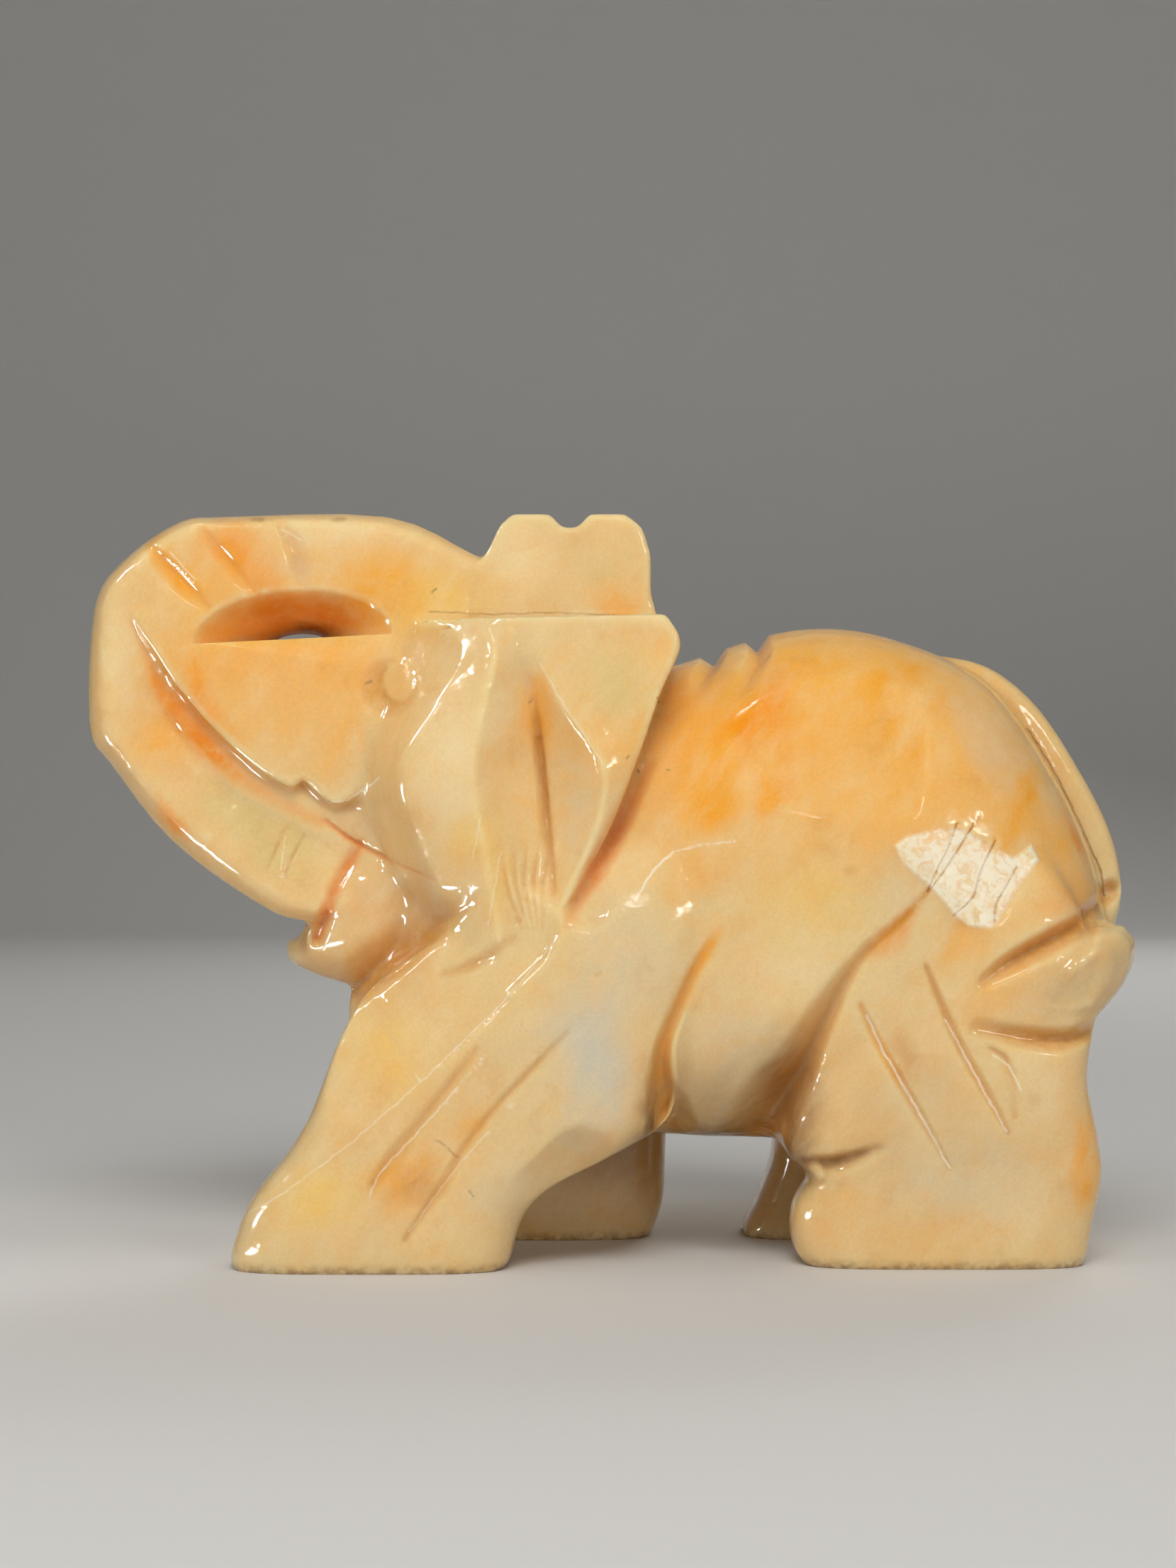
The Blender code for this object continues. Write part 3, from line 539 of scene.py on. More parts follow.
# %% The slot under the trunk
SLOT_MIDDLE, SLOT_SLANT = (-14.9, 29.6), 0.05
SLOT_LENGTH, SLOT_HEIGHT = 9.6, 2.3
HOLE_LENGTH, HOLE_HEIGHT = 2.5, 0.42
SLOT_MOUTH, SLOT_END, SLOT_FLARE = 4.5, 6.6, 1.5
SLOT_LAYERS, SLOT_POINTS = 6, 32
SLOT_CEILING = [(-18.9, 31.4), (-17.0, 32.2), (-14.6, 32.5), (-12.6, 32.2), (-11.2, 31.4)]
FOOT_OF_THE_EAR = [(-10.6, 22.3), (-10.2, 20.6), (-9.3, 18.9), (-8.0, 17.2), (-6.6, 15.8)]


def cut_slot(obj):
    rings = []
    for k in range(-SLOT_LAYERS, SLOT_LAYERS + 1):
        y = SLOT_END * k / SLOT_LAYERS
        share = (abs(y) / SLOT_MOUTH) ** SLOT_FLARE
        long = HOLE_LENGTH + share * (SLOT_LENGTH - HOLE_LENGTH)
        tall = HOLE_HEIGHT + share * (SLOT_HEIGHT - HOLE_HEIGHT)
        ring = []
        for j in range(SLOT_POINTS + 1):
            angle = math.pi * j / SLOT_POINTS
            off = -math.cos(angle) * long / 2
            z = SLOT_MIDDLE[1] + off * SLOT_SLANT + math.sin(angle) * tall
            ring.append(place(SLOT_MIDDLE[0] + off, y, z))
        rings.append(ring)
    cutter = added("slot_cutter")
    add_stone(cutter, lambda bm: loft(bm, rings))
    cut = obj.modifiers.new("trunk_slot", "BOOLEAN")
    cut.object, cut.operation = cutter, "DIFFERENCE"
    worked(obj)
    bpy.data.objects.remove(cutter)


def rub_near(obj, path, reach, passes):
    """Rubs the skin smooth near a path on the flank, most of all on the path."""
    points, _ = surface(obj)
    gap = along_path(from_the_side(points), smooth_rows(path, 5))[0]
    group = obj.vertex_groups.new(name="rubbed")
    for k in np.flatnonzero(gap < reach):
        group.add([int(k)], float(1 - gap[k] / reach), "REPLACE")
    rub = obj.modifiers.new("rub", "SMOOTH")
    rub.factor, rub.iterations, rub.vertex_group = FIRM_RUB, passes, group.name
    worked(obj)
    obj.vertex_groups.clear()


cut_slot(elephant)
rub_near(elephant, SLOT_CEILING, reach=1.5, passes=16)
rub_near(elephant, FOOT_OF_THE_EAR, reach=1.9, passes=45)

# %% [markdown]
# The stone's colours, as they look on screen. Grooves, clouds and marks below all pick from these.

# %% Colours


def srgb(red, green, blue):
    """A colour given as 0 to 255, as the linear values that nodes want."""
    parts = [c / 255 for c in (red, green, blue)]
    return (*[p / 12.92 if p <= 0.04045 else ((p + 0.055) / 1.055) ** 2.4 for p in parts], 1.0)


CREAM = srgb(236, 212, 164)
HONEY = srgb(252, 190, 92)
YELLOW = srgb(248, 212, 122)
AMBER = srgb(250, 178, 54)
ORANGE = srgb(252, 160, 22)
DEEP = srgb(222, 134, 4)
FLAME = srgb(238, 150, 76)
EMBER = srgb(242, 150, 34)
OCHRE = srgb(212, 146, 58)
UMBER = srgb(140, 84, 32)
# The darkest brown, for specks and for painted shade between the legs and under the belly.
SPECK_AND_SHADE = srgb(58, 40, 24)
WHITE = srgb(228, 214, 182)
COOL = srgb(214, 213, 203)
PALE = srgb(246, 228, 186)
GREEN = srgb(226, 206, 150)
BLUSH = srgb(232, 200, 158)
GREY = srgb(208, 186, 148)
# SHEEN is the white of painted highlights, and of the chip's paler patches.
SHEEN = srgb(255, 253, 244)

# %% [markdown]
# The grooves are the last cuts. Each is a path on the flank, and each spot on it says how wide and how deep
# the burr went there and how strongly the stone is coloured in it. Low in the deep grooves before the thigh,
# under the jaw and by the ankle that colour is partly stain and partly painted shade. Where the finest run
# the mesh is too coarse for a clean line, so the faces there are split first. A point attribute keeps the
# colours for later.

# %% Grooves
BOTH = (NEAR, FAR)
GROOVES = {  # x, z, half width, depth and strength of colour at each spot; colour; lean; flanks
    "behind the foreleg": (
        [(5.2, 16.1, 0.3, 0.05, 0.4), (4.6, 15.1, 0.4, 0.2, 0.9), (3.9, 13.9, 0.4, 0.35, 0.7),
         (3.2, 12.3, 0.45, 0.5, 0.6), (2.6, 10.7, 0.55, 0.8, 0.6), (2.5, 9.0, 0.8, 1.3, 0.5),
         (2.9, 7.2, 1.3, 2.2, 0.3), (3.2, 5.0, 1.6, 2.6, 0.1)], AMBER, 0.0, BOTH),
    # Brown low in this groove is partly stain and partly painted shade.
    "before the thigh": (
        [(14.8, 17.9, 0.15, 0.05, 0.6), (13.5, 16.5, 0.3, 0.08, 0.9), (12.3, 15.4, 0.4, 0.18, 0.7),
         (11.3, 14.2, 0.5, 0.45, 0.4), (10.1, 11.9, 0.9, 1.2, 0.4), (9.1, 9.5, 1.3, 2.0, 0.5),
         (8.1, 7.6, 1.7, 2.6, 0.6), (7.3, 5.0, 2.0, 3.0, 0.6)], OCHRE, 0.45, BOTH),
    # The umber here is partly painted shade in the hollow by the ankle.
    "near ankle": (
        [(9.2, 5.2, 0.5, 0.3, 0.4), (10.6, 5.3, 0.6, 0.6, 0.6), (12.6, 6.0, 0.3, 0.15, 0.2)],
        UMBER, 0.3, (NEAR,)),
    "above the tail tuft": (
        [(24.4, 17.6, 0.7, 0.8, 0.6), (22.9, 16.7, 0.75, 0.9, 0.7), (20.6, 15.6, 0.75, 1.0, 0.7),
         (18.7, 14.6, 0.7, 0.8, 0.6), (17.3, 13.7, 0.5, 0.3, 0.3)], OCHRE, 0.0, (NEAR,)),
    "under the tail tuft": (
        [(23.4, 11.7, 0.6, 0.5, 0.3), (21.2, 11.0, 0.7, 0.7, 0.7), (19.2, 11.1, 0.7, 0.5, 0.7),
         (17.0, 11.6, 0.5, 0.2, 0.4)], OCHRE, 0.0, (NEAR,)),
    "end of the trunk": (
        [(-11.7, 19.9, 0.35, 0.1, 0.6), (-12.3, 18.9, 0.5, 0.2, 0.8), (-12.9, 17.8, 0.45, 0.25, 0.7),
         (-13.3, 16.6, 0.5, 0.35, 0.9), (-13.8, 15.4, 0.5, 0.6, 0.6)], FLAME, 0.0, BOTH),
    "behind the ear": (
        [(2.0, 23.6, 0.4, 0.1, 0.3), (1.1, 21.9, 0.6, 0.3, 0.5), (0.3, 20.3, 0.75, 0.42, 0.8),
         (-0.5, 18.8, 0.75, 0.42, 0.8), (-1.3, 17.4, 0.5, 0.25, 0.4), (-1.9, 16.2, 0.3, 0.1, 0.2)],
        FLAME, 0.0, BOTH),
    # The ochre here is partly painted shade under the jaw.
    "under the jaw": (
        [(-6.4, 17.2, 0.8, 0.15, 0.2), (-7.6, 16.3, 1.1, 0.4, 0.6), (-9.2, 14.9, 1.4, 0.6, 0.8),
         (-10.8, 13.6, 1.4, 0.7, 0.7), (-12.0, 12.6, 1.0, 0.6, 0.6)], OCHRE, 0.5, BOTH),
    "chest": ([(-7.6, 13.9, 0.3, 0.1, 0.2), (-6.0, 14.5, 0.4, 0.25, 0.4), (-4.4, 15.5, 0.3, 0.1, 0.2)],
              OCHRE, 0.0, BOTH),
    "trunk, first": (
        [(-21.8, 34.1, 0.3, 0.15, 0.2), (-20.9, 33.2, 0.6, 0.3, 0.5), (-19.9, 32.2, 0.6, 0.3, 0.6),
         (-18.9, 31.2, 0.4, 0.1, 0.3)], AMBER, 0.4, BOTH),
    "trunk, second": (
        [(-19.2, 34.9, 0.3, 0.1, 0.2), (-18.3, 33.8, 0.5, 0.25, 0.4), (-17.3, 32.6, 0.5, 0.2, 0.5),
         (-16.6, 31.9, 0.3, 0.1, 0.3)], AMBER, 0.4, BOTH),
    "trunk, third": (
        [(-15.5, 35.1, 0.4, 0.2, 0.0), (-14.9, 33.9, 0.7, 0.4, 0.1), (-14.6, 32.9, 0.7, 0.35, 0.2),
         (-14.4, 32.1, 0.4, 0.1, 0.2)], BLUSH, -0.3, BOTH),
    "inside the curl": (
        [(-22.5, 30.4, 0.15, 0.05, 0.1), (-21.9, 28.8, 0.25, 0.1, 0.3), (-21.3, 27.4, 0.55, 0.1, 0.9),
         (-20.3, 26.0, 0.8, 0.1, 1.0), (-19.0, 24.5, 0.9, 0.1, 1.0), (-17.6, 23.2, 0.7, 0.05, 0.6),
         (-15.6, 21.9, 0.6, 0.05, 0.35), (-13.6, 20.9, 0.4, 0.05, 0.3)], EMBER, 0.0, BOTH),
}  # fmt: skip
LINES = {  # the same, for narrow cuts made into the finished skin
    "thigh, front": (
        [(11.6, 12.6, 0.2, 0.1, 0.1), (12.3, 11.1, 0.3, 0.2, 0.4), (13.2, 9.5, 0.35, 0.22, 0.4),
         (14.3, 7.6, 0.35, 0.22, 0.1), (15.8, 5.0, 0.2, 0.1, 0.0)], AMBER, 0.0, BOTH),
    "thigh, back": (
        [(14.6, 14.4, 0.2, 0.1, 0.4), (15.5, 12.2, 0.3, 0.18, 0.4), (16.4, 10.3, 0.35, 0.22, 0.2),
         (17.4, 8.6, 0.35, 0.22, 0.1), (18.5, 6.6, 0.2, 0.1, 0.0)], OCHRE, 0.0, BOTH),
    "behind the thigh": (
        [(17.6, 10.6, 0.2, 0.15, 0.0), (18.3, 10.1, 0.3, 0.22, 0.0), (18.7, 8.9, 0.3, 0.1, 0.0),
         (18.8, 7.4, 0.2, 0.1, 0.0)], PALE, 0.4, (NEAR,)),
    "near foreleg, front": (
        [(-6.0, 10.6, 0.2, 0.05, 0.2), (-7.2, 9.0, 0.35, 0.1, 0.25), (-8.6, 7.2, 0.4, 0.12, 0.25),
         (-9.8, 5.7, 0.5, 0.16, 0.3), (-10.7, 4.4, 0.4, 0.14, 0.2)], OCHRE, 0.0, (NEAR,)),
    "near foreleg, back": (
        [(-1.8, 11.4, 0.2, 0.05, 0.1), (-3.5, 9.6, 0.25, 0.12, 0.15), (-5.2, 7.8, 0.25, 0.12, 0.1),
         (-6.6, 6.0, 0.3, 0.12, 0.2), (-7.4, 4.6, 0.35, 0.14, 0.2), (-9.3, 1.8, 0.2, 0.1, 0.1)],
        OCHRE, 0.0, (NEAR,)),
    "far foreleg, front": (
        [(-2.8, 10.4, 0.3, 0.1, 0.3), (-3.8, 8.2, 0.4, 0.3, 0.5), (-5.4, 3.6, 0.3, 0.1, 0.3)],
        OCHRE, 0.0, (FAR,)),
    "far foreleg, back": (
        [(0.2, 10.4, 0.3, 0.1, 0.3), (-0.8, 8.2, 0.4, 0.3, 0.5), (-2.6, 3.2, 0.3, 0.1, 0.3)],
        OCHRE, 0.0, (FAR,)),
    "trunk tool mark, first": (
        [(-14.4, 20.3, 0.1, 0.05, 0.0), (-15.0, 19.1, 0.16, 0.14, 0.1), (-15.5, 17.6, 0.1, 0.05, 0.0)],
        PALE, 0.0, (NEAR,)),
    "trunk tool mark, second": (
        [(-15.3, 20.7, 0.1, 0.05, 0.0), (-15.8, 19.4, 0.14, 0.12, 0.1), (-16.2, 18.4, 0.1, 0.05, 0.0)],
        PALE, 0.0, (NEAR,)),
    "top of the jaw": (
        [(-13.4, 21.0, 0.15, 0.1, 0.4), (-12.2, 20.1, 0.16, 0.2, 0.7), (-10.7, 19.3, 0.15, 0.15, 0.5),
         (-8.1, 18.3, 0.12, 0.05, 0.2)], FLAME, 0.0, BOTH),
    "ear fold": (
        [(-3.25, 26.0, 0.3, 0.05, 0.4), (-3.05, 24.2, 0.35, 0.28, 0.75), (-2.85, 22.2, 0.35, 0.3, 0.55),
         (-2.65, 20.0, 0.4, 0.25, 0.4), (-2.4, 17.8, 0.25, 0.1, 0.2)], OCHRE, 0.5, BOTH),
}  # fmt: skip
FLUTES, FLUTE_BOW = 5, 0.25
FLUTE_TOPS, FLUTE_FEET = (-4.9, 0.62), (-3.9, 0.22)  # x of the first one, and the step to the next
LINE_MARGIN, LEAST_LINE = 0.15, 0.02
BACK_NOTCHES = [5.2, 7.3]
NOTCH_TOP, NOTCH_FOOT, NOTCH_FADE, NOTCH_AIM = 29.0, 26.6, 2.4, 22
NOTCH_LEAN, NOTCH_HALF_WIDTH, NOTCH_DEPTH = 0.5, 0.6, 0.7
CLEAR_OF_THE_EAR = {  # the stretch of each crest that is ground again, to make it crisp
    "front of the near foreleg": slice(0, 5),
    "front of the far foreleg": slice(0, 5),
    "top of the flank": slice(2, 6),
}
CRISP_REACH = 0.9

for k in range(FLUTES):
    top, low_end = (first + step * k for first, step in (FLUTE_TOPS, FLUTE_FEET))
    middle = (top + low_end) / 2 - FLUTE_BOW
    path = [(top, 20.4, 0.12, 0.02, 0.0), (middle, 18.2, 0.2, 0.09, 0.08), (low_end, 16.0, 0.12, 0.03, 0.0)]
    LINES[f"ear flute {k}"] = (path, OCHRE, 0.0, BOTH)


def faces_flank(normals, side):
    """1 where the skin faces this flank squarely or nearly so, falling to 0 where it faces along it."""
    return np.clip(normals[:, 1] * side * 2, 0, 1)


def groove_shape(co, normals, rows, lean, sides, extra=0.0):
    """For each point: how far into a groove it is, from 0 to 1, the flank it is on, and the groove's depth
    and strength of colour there. A leaning groove has one steep wall, on its left if lean is positive."""
    line = smooth_rows(rows, 5)
    gap, beside, past, (half, depth, strength) = along_path(from_the_side(co), line)
    half = half * (1 - lean * np.sign(beside)) + extra
    shape = np.clip(1 - gap / half, 0, 1)
    shape = shape * shape * (3 - 2 * shape)
    facing = np.zeros(len(co))
    for side in sides:
        on_flank = co[:, 1] / UNIT.y * side > LEG_GAP / 4
        facing += side * faces_flank(normals, side) * on_flank
    return shape, facing, depth, strength


def grind_grooves(co, normals, grooves):
    for rows, _, lean, sides in grooves.values():
        shape, facing, depth, _ = groove_shape(co, normals, rows, lean, sides)
        co[:, 1] -= shape * facing * depth * UNIT.y


def grind_notch(co, x):
    """A notch across the ridge of the back that runs a little way down both flanks."""
    lean = np.clip(NOTCH_TOP * UNIT.z - co[:, 2], 0, None) * NOTCH_LEAN
    gap = np.abs(co[:, 0] - (x * UNIT.x - lean)) / (NOTCH_HALF_WIDTH * UNIT.x)
    share = np.clip(1 - gap, 0, 1) * np.clip((co[:, 2] / UNIT.z - NOTCH_FOOT) / NOTCH_FADE, 0, 1)
    inward = np.column_stack([np.zeros(len(co)), -co[:, 1], NOTCH_AIM * UNIT.z - co[:, 2]])
    inward /= np.linalg.norm(inward, axis=1)[:, None] + 1e-9
    co += inward * (share * NOTCH_DEPTH * MM)[:, None]


def split_near(obj, pick):
    """Splits the edges whose two ends are both picked, so that fine work there comes out clean."""
    near = pick(*surface(obj))
    with edited(obj) as bm:
        edges = [e for e in bm.edges if near[e.verts[0].index] and near[e.verts[1].index]]
        bmesh.ops.subdivide_edges(bm, edges=edges, cuts=1, use_grid_fill=True)


def near_lines(co, normals):
    near = np.zeros(len(co), bool)
    for rows, _, lean, sides in LINES.values():
        shape, facing, _, _ = groove_shape(co, normals, rows, lean, sides, extra=LINE_MARGIN)
        near |= shape * np.abs(facing) > LEAST_LINE
    return near


points, normals = surface(elephant)
grind_grooves(points, normals, GROOVES)
for x in BACK_NOTCHES:
    grind_notch(points, x)
for name, stretch in CLEAR_OF_THE_EAR.items():
    crest, turn, slope, _, sides = CRESTS[name]
    grind_facet(points, crest[stretch], turn, slope, CRISP_REACH, sides)
move_surface(elephant, points)
split_near(elephant, near_lines)
points, normals = surface(elephant)
grind_grooves(points, normals, LINES)

# %% [markdown]
# Each eye is a small dome left standing in a scooped socket. The scoop is deepest towards the trunk, so the
# dome sits off its middle, close to the brow.

# %% Eyes
SOCKET, SOCKET_RADIUS, SOCKET_DEPTH = (-10.3, 27.3), 1.5, 0.22
DOME, DOME_SIZE, DOME_HEIGHT = (-9.8, 27.6), (0.8, 1.05), 0.26
ANKLE_KNOB, ANKLE_KNOB_HEIGHT = ((9.6, 4.7), 0.5, 0.6), 0.35


def bowl(co, middle, width, height):
    """1 in the middle of an oval on the flank, falling smoothly to 0 at its rim."""
    across = (co[:, 0] / UNIT.x - middle[0]) / width
    up = (co[:, 2] / UNIT.z - middle[1]) / height
    return np.clip(1 - across**2 - up**2, 0, 1)


def eye_shape(co):
    return bowl(co, SOCKET, SOCKET_RADIUS, SOCKET_RADIUS) ** 0.8, np.sqrt(bowl(co, DOME, *DOME_SIZE))


def carve_eyes(co, normals):
    scoop, dome = eye_shape(co)
    for side in BOTH:
        facing = faces_flank(normals, side)
        co[:, 1] += side * facing * (dome * DOME_HEIGHT - scoop * SOCKET_DEPTH) * UNIT.y


carve_eyes(points, normals)
knob = np.sqrt(bowl(points, *ANKLE_KNOB)) * faces_flank(normals, NEAR)
points[:, 1] -= knob * ANKLE_KNOB_HEIGHT * UNIT.y
move_surface(elephant, points)

# %% [markdown]
# High on the near haunch a shell-shaped flake has come away and was polished over. Its flat floor mirrors
# the window, and cracks run across it. The mesh is split twice there, so that its rim and the cracks are
# crisp.

# %% The chip on the haunch
CHIP = [
    (13.1, 19.9), (13.7, 20.4), (15.3, 20.75), (16.3, 20.75), (17.8, 20.0), (18.7, 19.4), (19.7, 20.0),
    (20.1, 19.2), (19.0, 18.0), (18.3, 16.8), (17.7, 16.0), (16.5, 16.1), (15.7, 16.8), (14.8, 17.9),
    (13.5, 19.0),
]  # fmt: skip
CHIP_MIDDLE, CHIP_TILT, CHIP_RIM, CHIP_MARGIN = (16.6, 18.8), (0.24, 0.20), 0.2, 0.4
CRACKS = [
    [(16.1, 20.9), (15.7, 19.8), (15.1, 18.7), (14.7, 17.8)],
    [(17.1, 21.2), (16.4, 20.1), (15.6, 18.9), (14.9, 18.0)],
    [(17.9, 20.1), (17.2, 18.7), (16.9, 17.7), (16.5, 17.2), (15.9, 16.7)],
    [(18.9, 18.9), (18.4, 18.0), (17.9, 17.2), (17.8, 16.4)],
]
CRACK_HALF_WIDTH, CRACK_DEPTH = 0.06, 0.10
CHIP_CORE, CHIP_SINK, CHIP_FILL, CHIP_DEEPEST, CHIP_GRAIN = 0.6, 0.05, -0.12, 0.7, 0.004
CHIP_SPLITS = 2
NEAR_SKIN = -5.0  # the near flank's skin lies further out than this


def inside(co, outline):
    """How far each point lies inside an outline on the flank. Points outside get a negative distance."""
    flat = from_the_side(co)
    closed = np.array([*outline, outline[0]])
    gap = along_path(flat, closed)[0]
    within = np.zeros(len(co), bool)
    for (ax, az), (bx, bz) in zip(closed, closed[1:]):
        crosses = (flat[:, 1] < az) != (flat[:, 1] < bz)
        if az != bz:
            within ^= crosses & (flat[:, 0] < ax + (flat[:, 1] - az) * (bx - ax) / (bz - az))
    return np.where(within, gap, -gap)


def on_near_flank(co):
    return co[:, 1] < NEAR_SKIN * UNIT.y


def near_chip(co, normals):
    return (inside(co, CHIP) > -CHIP_MARGIN) & on_near_flank(co)


def chip_share(co):
    """1 on the chip's floor and 0 outside it, with a short wall between the two."""
    return np.clip(inside(co, CHIP) / CHIP_RIM, 0, 1) * on_near_flank(co)


def crack_share(co):
    found = np.zeros(len(co))
    for path in CRACKS:
        gap = along_path(from_the_side(co), smooth_rows(path, 4))[0]
        np.maximum(found, np.clip(1 - gap / CRACK_HALF_WIDTH, 0, 1), out=found)
    return found * on_near_flank(co)


def cut_chip(co):
    """Grinds the chip's floor flat, tilted towards the tail and up, then cuts the cracks."""
    across = co[:, 0] / UNIT.x - CHIP_MIDDLE[0]
    up = co[:, 2] / UNIT.z - CHIP_MIDDLE[1]
    out = -co[:, 1] / UNIT.y
    floor = chip_share(co)
    middle = (np.hypot(across, up) < CHIP_CORE) & (out > -NEAR_SKIN)
    level = out[middle].mean() - CHIP_SINK - across * CHIP_TILT[0] - up * CHIP_TILT[1]
    ragged = np.random.default_rng(4).normal(0, CHIP_GRAIN, len(co))
    fall = np.clip(out - level, CHIP_FILL, CHIP_DEEPEST) + ragged
    co[:, 1] += (fall * floor + crack_share(co) * CRACK_DEPTH) * UNIT.y


for _ in range(CHIP_SPLITS):
    split_near(elephant, near_chip)
points, normals = surface(elephant)
cut_chip(points)
move_surface(elephant, points)

# %% [markdown]
# The stone is cream and honey, with orange clouds in some places and grey-white ones in others. The long
# clouds run right through the block and the others half-way, so each flank has a pattern of its own. Each of
# the clouds is listed by the place on the flank where it shows. A few are painted shade: under the jaw, deep
# in the slot, and between the legs and under the belly. Marks are thin: cracks, dark lines and specks on the
# near flank, and white ones that are painted highlights along crests and groove edges.

# %% Clouds and marks
CLOUDS = [  # x, z, half length, half height, lean, colour, strength
    (9.0, 27.0, 15.0, 6.4, 10, HONEY, 1.0),
    (4.0, 24.0, 4.5, 6.5, -20, HONEY, 0.9),
    (14.0, 22.5, 12.0, 5.4, 15, HONEY, 0.75),
    (21.4, 19.0, 4.8, 2.0, -65, HONEY, 1.0),
    (22.3, 20.2, 2.4, 0.6, -65, ORANGE, 0.8),
    (21.0, 16.6, 2.4, 1.4, 20, FLAME, 0.35),
    (13.0, 17.6, 4.6, 2.2, 40, WHITE, 0.6),
    (4.4, 18.6, 2.8, 1.9, 20, AMBER, 0.6),
    (9.5, 17.0, 5.0, 3.4, 0, YELLOW, 0.5),
    (9.0, 14.5, 3.4, 3.0, 0, PALE, 0.5),
    (7.2, 26.4, 2.8, 1.3, 60, ORANGE, 1.0),
    (6.2, 25.2, 1.6, 1.1, 60, ORANGE, 0.9),
    (5.3, 23.8, 3.2, 1.1, 78, AMBER, 1.0),
    (4.9, 21.9, 2.2, 1.7, 0, AMBER, 1.0),
    (8.4, 22.6, 2.9, 1.3, 58, ORANGE, 1.0),
    (7.7, 21.6, 1.5, 1.0, 55, AMBER, 0.9),
    (12.9, 26.9, 2.6, 1.2, 60, AMBER, 0.8),
    (15.8, 26.6, 1.2, 0.8, 60, AMBER, 0.9),
    (14.5, 28.0, 1.2, 0.6, 30, AMBER, 0.8),
    (13.9, 24.0, 2.4, 1.1, 60, AMBER, 0.5),
    (17.8, 24.6, 3.8, 2.0, -50, BLUSH, 0.8),
    (19.1, 21.5, 4.0, 1.4, 52, AMBER, 1.0),
    (16.3, 15.2, 2.2, 1.5, 45, AMBER, 0.6),
    (0.8, 14.6, 3.4, 4.2, 0, WHITE, 0.9),
    (-0.6, 10.0, 2.7, 5.4, 4, COOL, 1.0),
    (6.2, 10.6, 3.4, 3.0, 0, WHITE, 0.85),
    (6.4, 8.6, 4.6, 2.8, 0, GREY, 1.0),
    (13.1, 16.2, 2.2, 0.7, 42, EMBER, 0.8),
    (-4.6, 4.4, 3.2, 1.8, 50, WHITE, 0.7),
    (-10.4, 10.6, 3.4, 2.6, 50, YELLOW, 0.6),
    (-11.8, 8.2, 2.8, 1.4, 50, PALE, 0.9),
    (-13.2, 3.6, 3.4, 2.2, 20, YELLOW, 0.75),
    (-9.2, 4.5, 2.8, 1.9, 40, AMBER, 1.0),
    (-8.6, 4.5, 1.6, 1.3, 30, OCHRE, 0.8),
    (-6.2, 7.0, 2.0, 0.9, 50, AMBER, 0.5),
    (16.2, 4.6, 6.0, 3.4, 0, WHITE, 0.9),
    (19.0, 3.2, 2.6, 2.4, 0, PALE, 0.6),
    (14.4, 8.4, 2.6, 3.0, -60, WHITE, 0.5),
    (13.7, 10.0, 2.8, 0.9, -60, OCHRE, 0.6),
    (17.6, 12.8, 2.2, 1.4, 45, AMBER, 0.4),
    (19.8, 8.6, 2.6, 3.4, 0, PALE, 0.7),
    (22.2, 5.0, 2.8, 1.0, 78, AMBER, 1.0),
    (21.4, 13.6, 4.2, 2.0, 20, GREY, 0.8),
    (-16.0, 28.5, 9.0, 7.0, 0, HONEY, 1.0),
    (-17.8, 28.3, 4.2, 2.4, 10, ORANGE, 0.85),
    (-18.7, 26.8, 3.0, 2.2, 40, ORANGE, 0.8),
    (-14.2, 26.4, 2.6, 1.3, 50, YELLOW, 0.6),
    (-12.6, 24.6, 2.8, 1.7, 60, AMBER, 0.8),
    (-8.4, 31.4, 4.6, 2.2, 0, YELLOW, 0.7),
    (-11.0, 31.6, 3.6, 2.0, 20, AMBER, 0.8),
    (-20.2, 33.0, 3.0, 1.2, -45, AMBER, 1.0),
    (-17.2, 33.3, 3.4, 1.8, -50, ORANGE, 0.9),
    (-12.6, 34.6, 3.6, 1.4, 0, PALE, 0.8),
    (-14.6, 32.9, 1.5, 0.8, 0, BLUSH, 0.7),
    (-23.3, 28.6, 1.1, 4.0, 0, PALE, 0.8),
    (-21.5, 25.0, 2.6, 2.0, 40, AMBER, 0.8),
    (-20.8, 21.2, 1.8, 0.8, -52, ORANGE, 0.9),
    (-16.4, 20.5, 5.2, 2.0, -35, GREEN, 1.0),
    (-11.0, 17.2, 2.8, 2.4, 0, BLUSH, 0.8),
    # Painted shade under the jaw.
    (-9.0, 15.0, 2.4, 1.2, 40, OCHRE, 0.6),
    (-12.0, 20.8, 2.2, 1.2, -20, BLUSH, 0.7),
    # Painted shade under the tip of the jaw.
    (-14.1, 15.0, 1.1, 1.2, 0, UMBER, 0.8),
    (-7.3, 23.8, 2.6, 5.4, 0, PALE, 1.0),
    (-6.6, 20.4, 1.6, 1.6, 0, YELLOW, 0.6),
    (-5.2, 18.6, 1.6, 4.0, 10, YELLOW, 0.5),
    (-1.5, 21.4, 1.4, 4.2, 15, WHITE, 0.8),
    (0.8, 27.4, 2.6, 3.2, 0, GREEN, 0.9),
    (-3.0, 25.6, 2.8, 1.2, 90, AMBER, 0.8),
    (-4.1, 33.4, 2.2, 2.6, 0, PALE, 1.0),
    (0.5, 33.2, 2.2, 2.6, 0, GREEN, 0.9),
    (0.4, 31.4, 2.0, 1.0, 0, AMBER, 0.7),
    (-5.3, 26.0, 2.6, 0.9, 80, PALE, 0.9),
    # Painted shade under the jaw.
    (-9.6, 16.9, 2.2, 1.3, 40, OCHRE, 0.4),
    (17.4, 4.2, 8.0, 6.0, 0, COOL, 0.75),
]  # fmt: skip
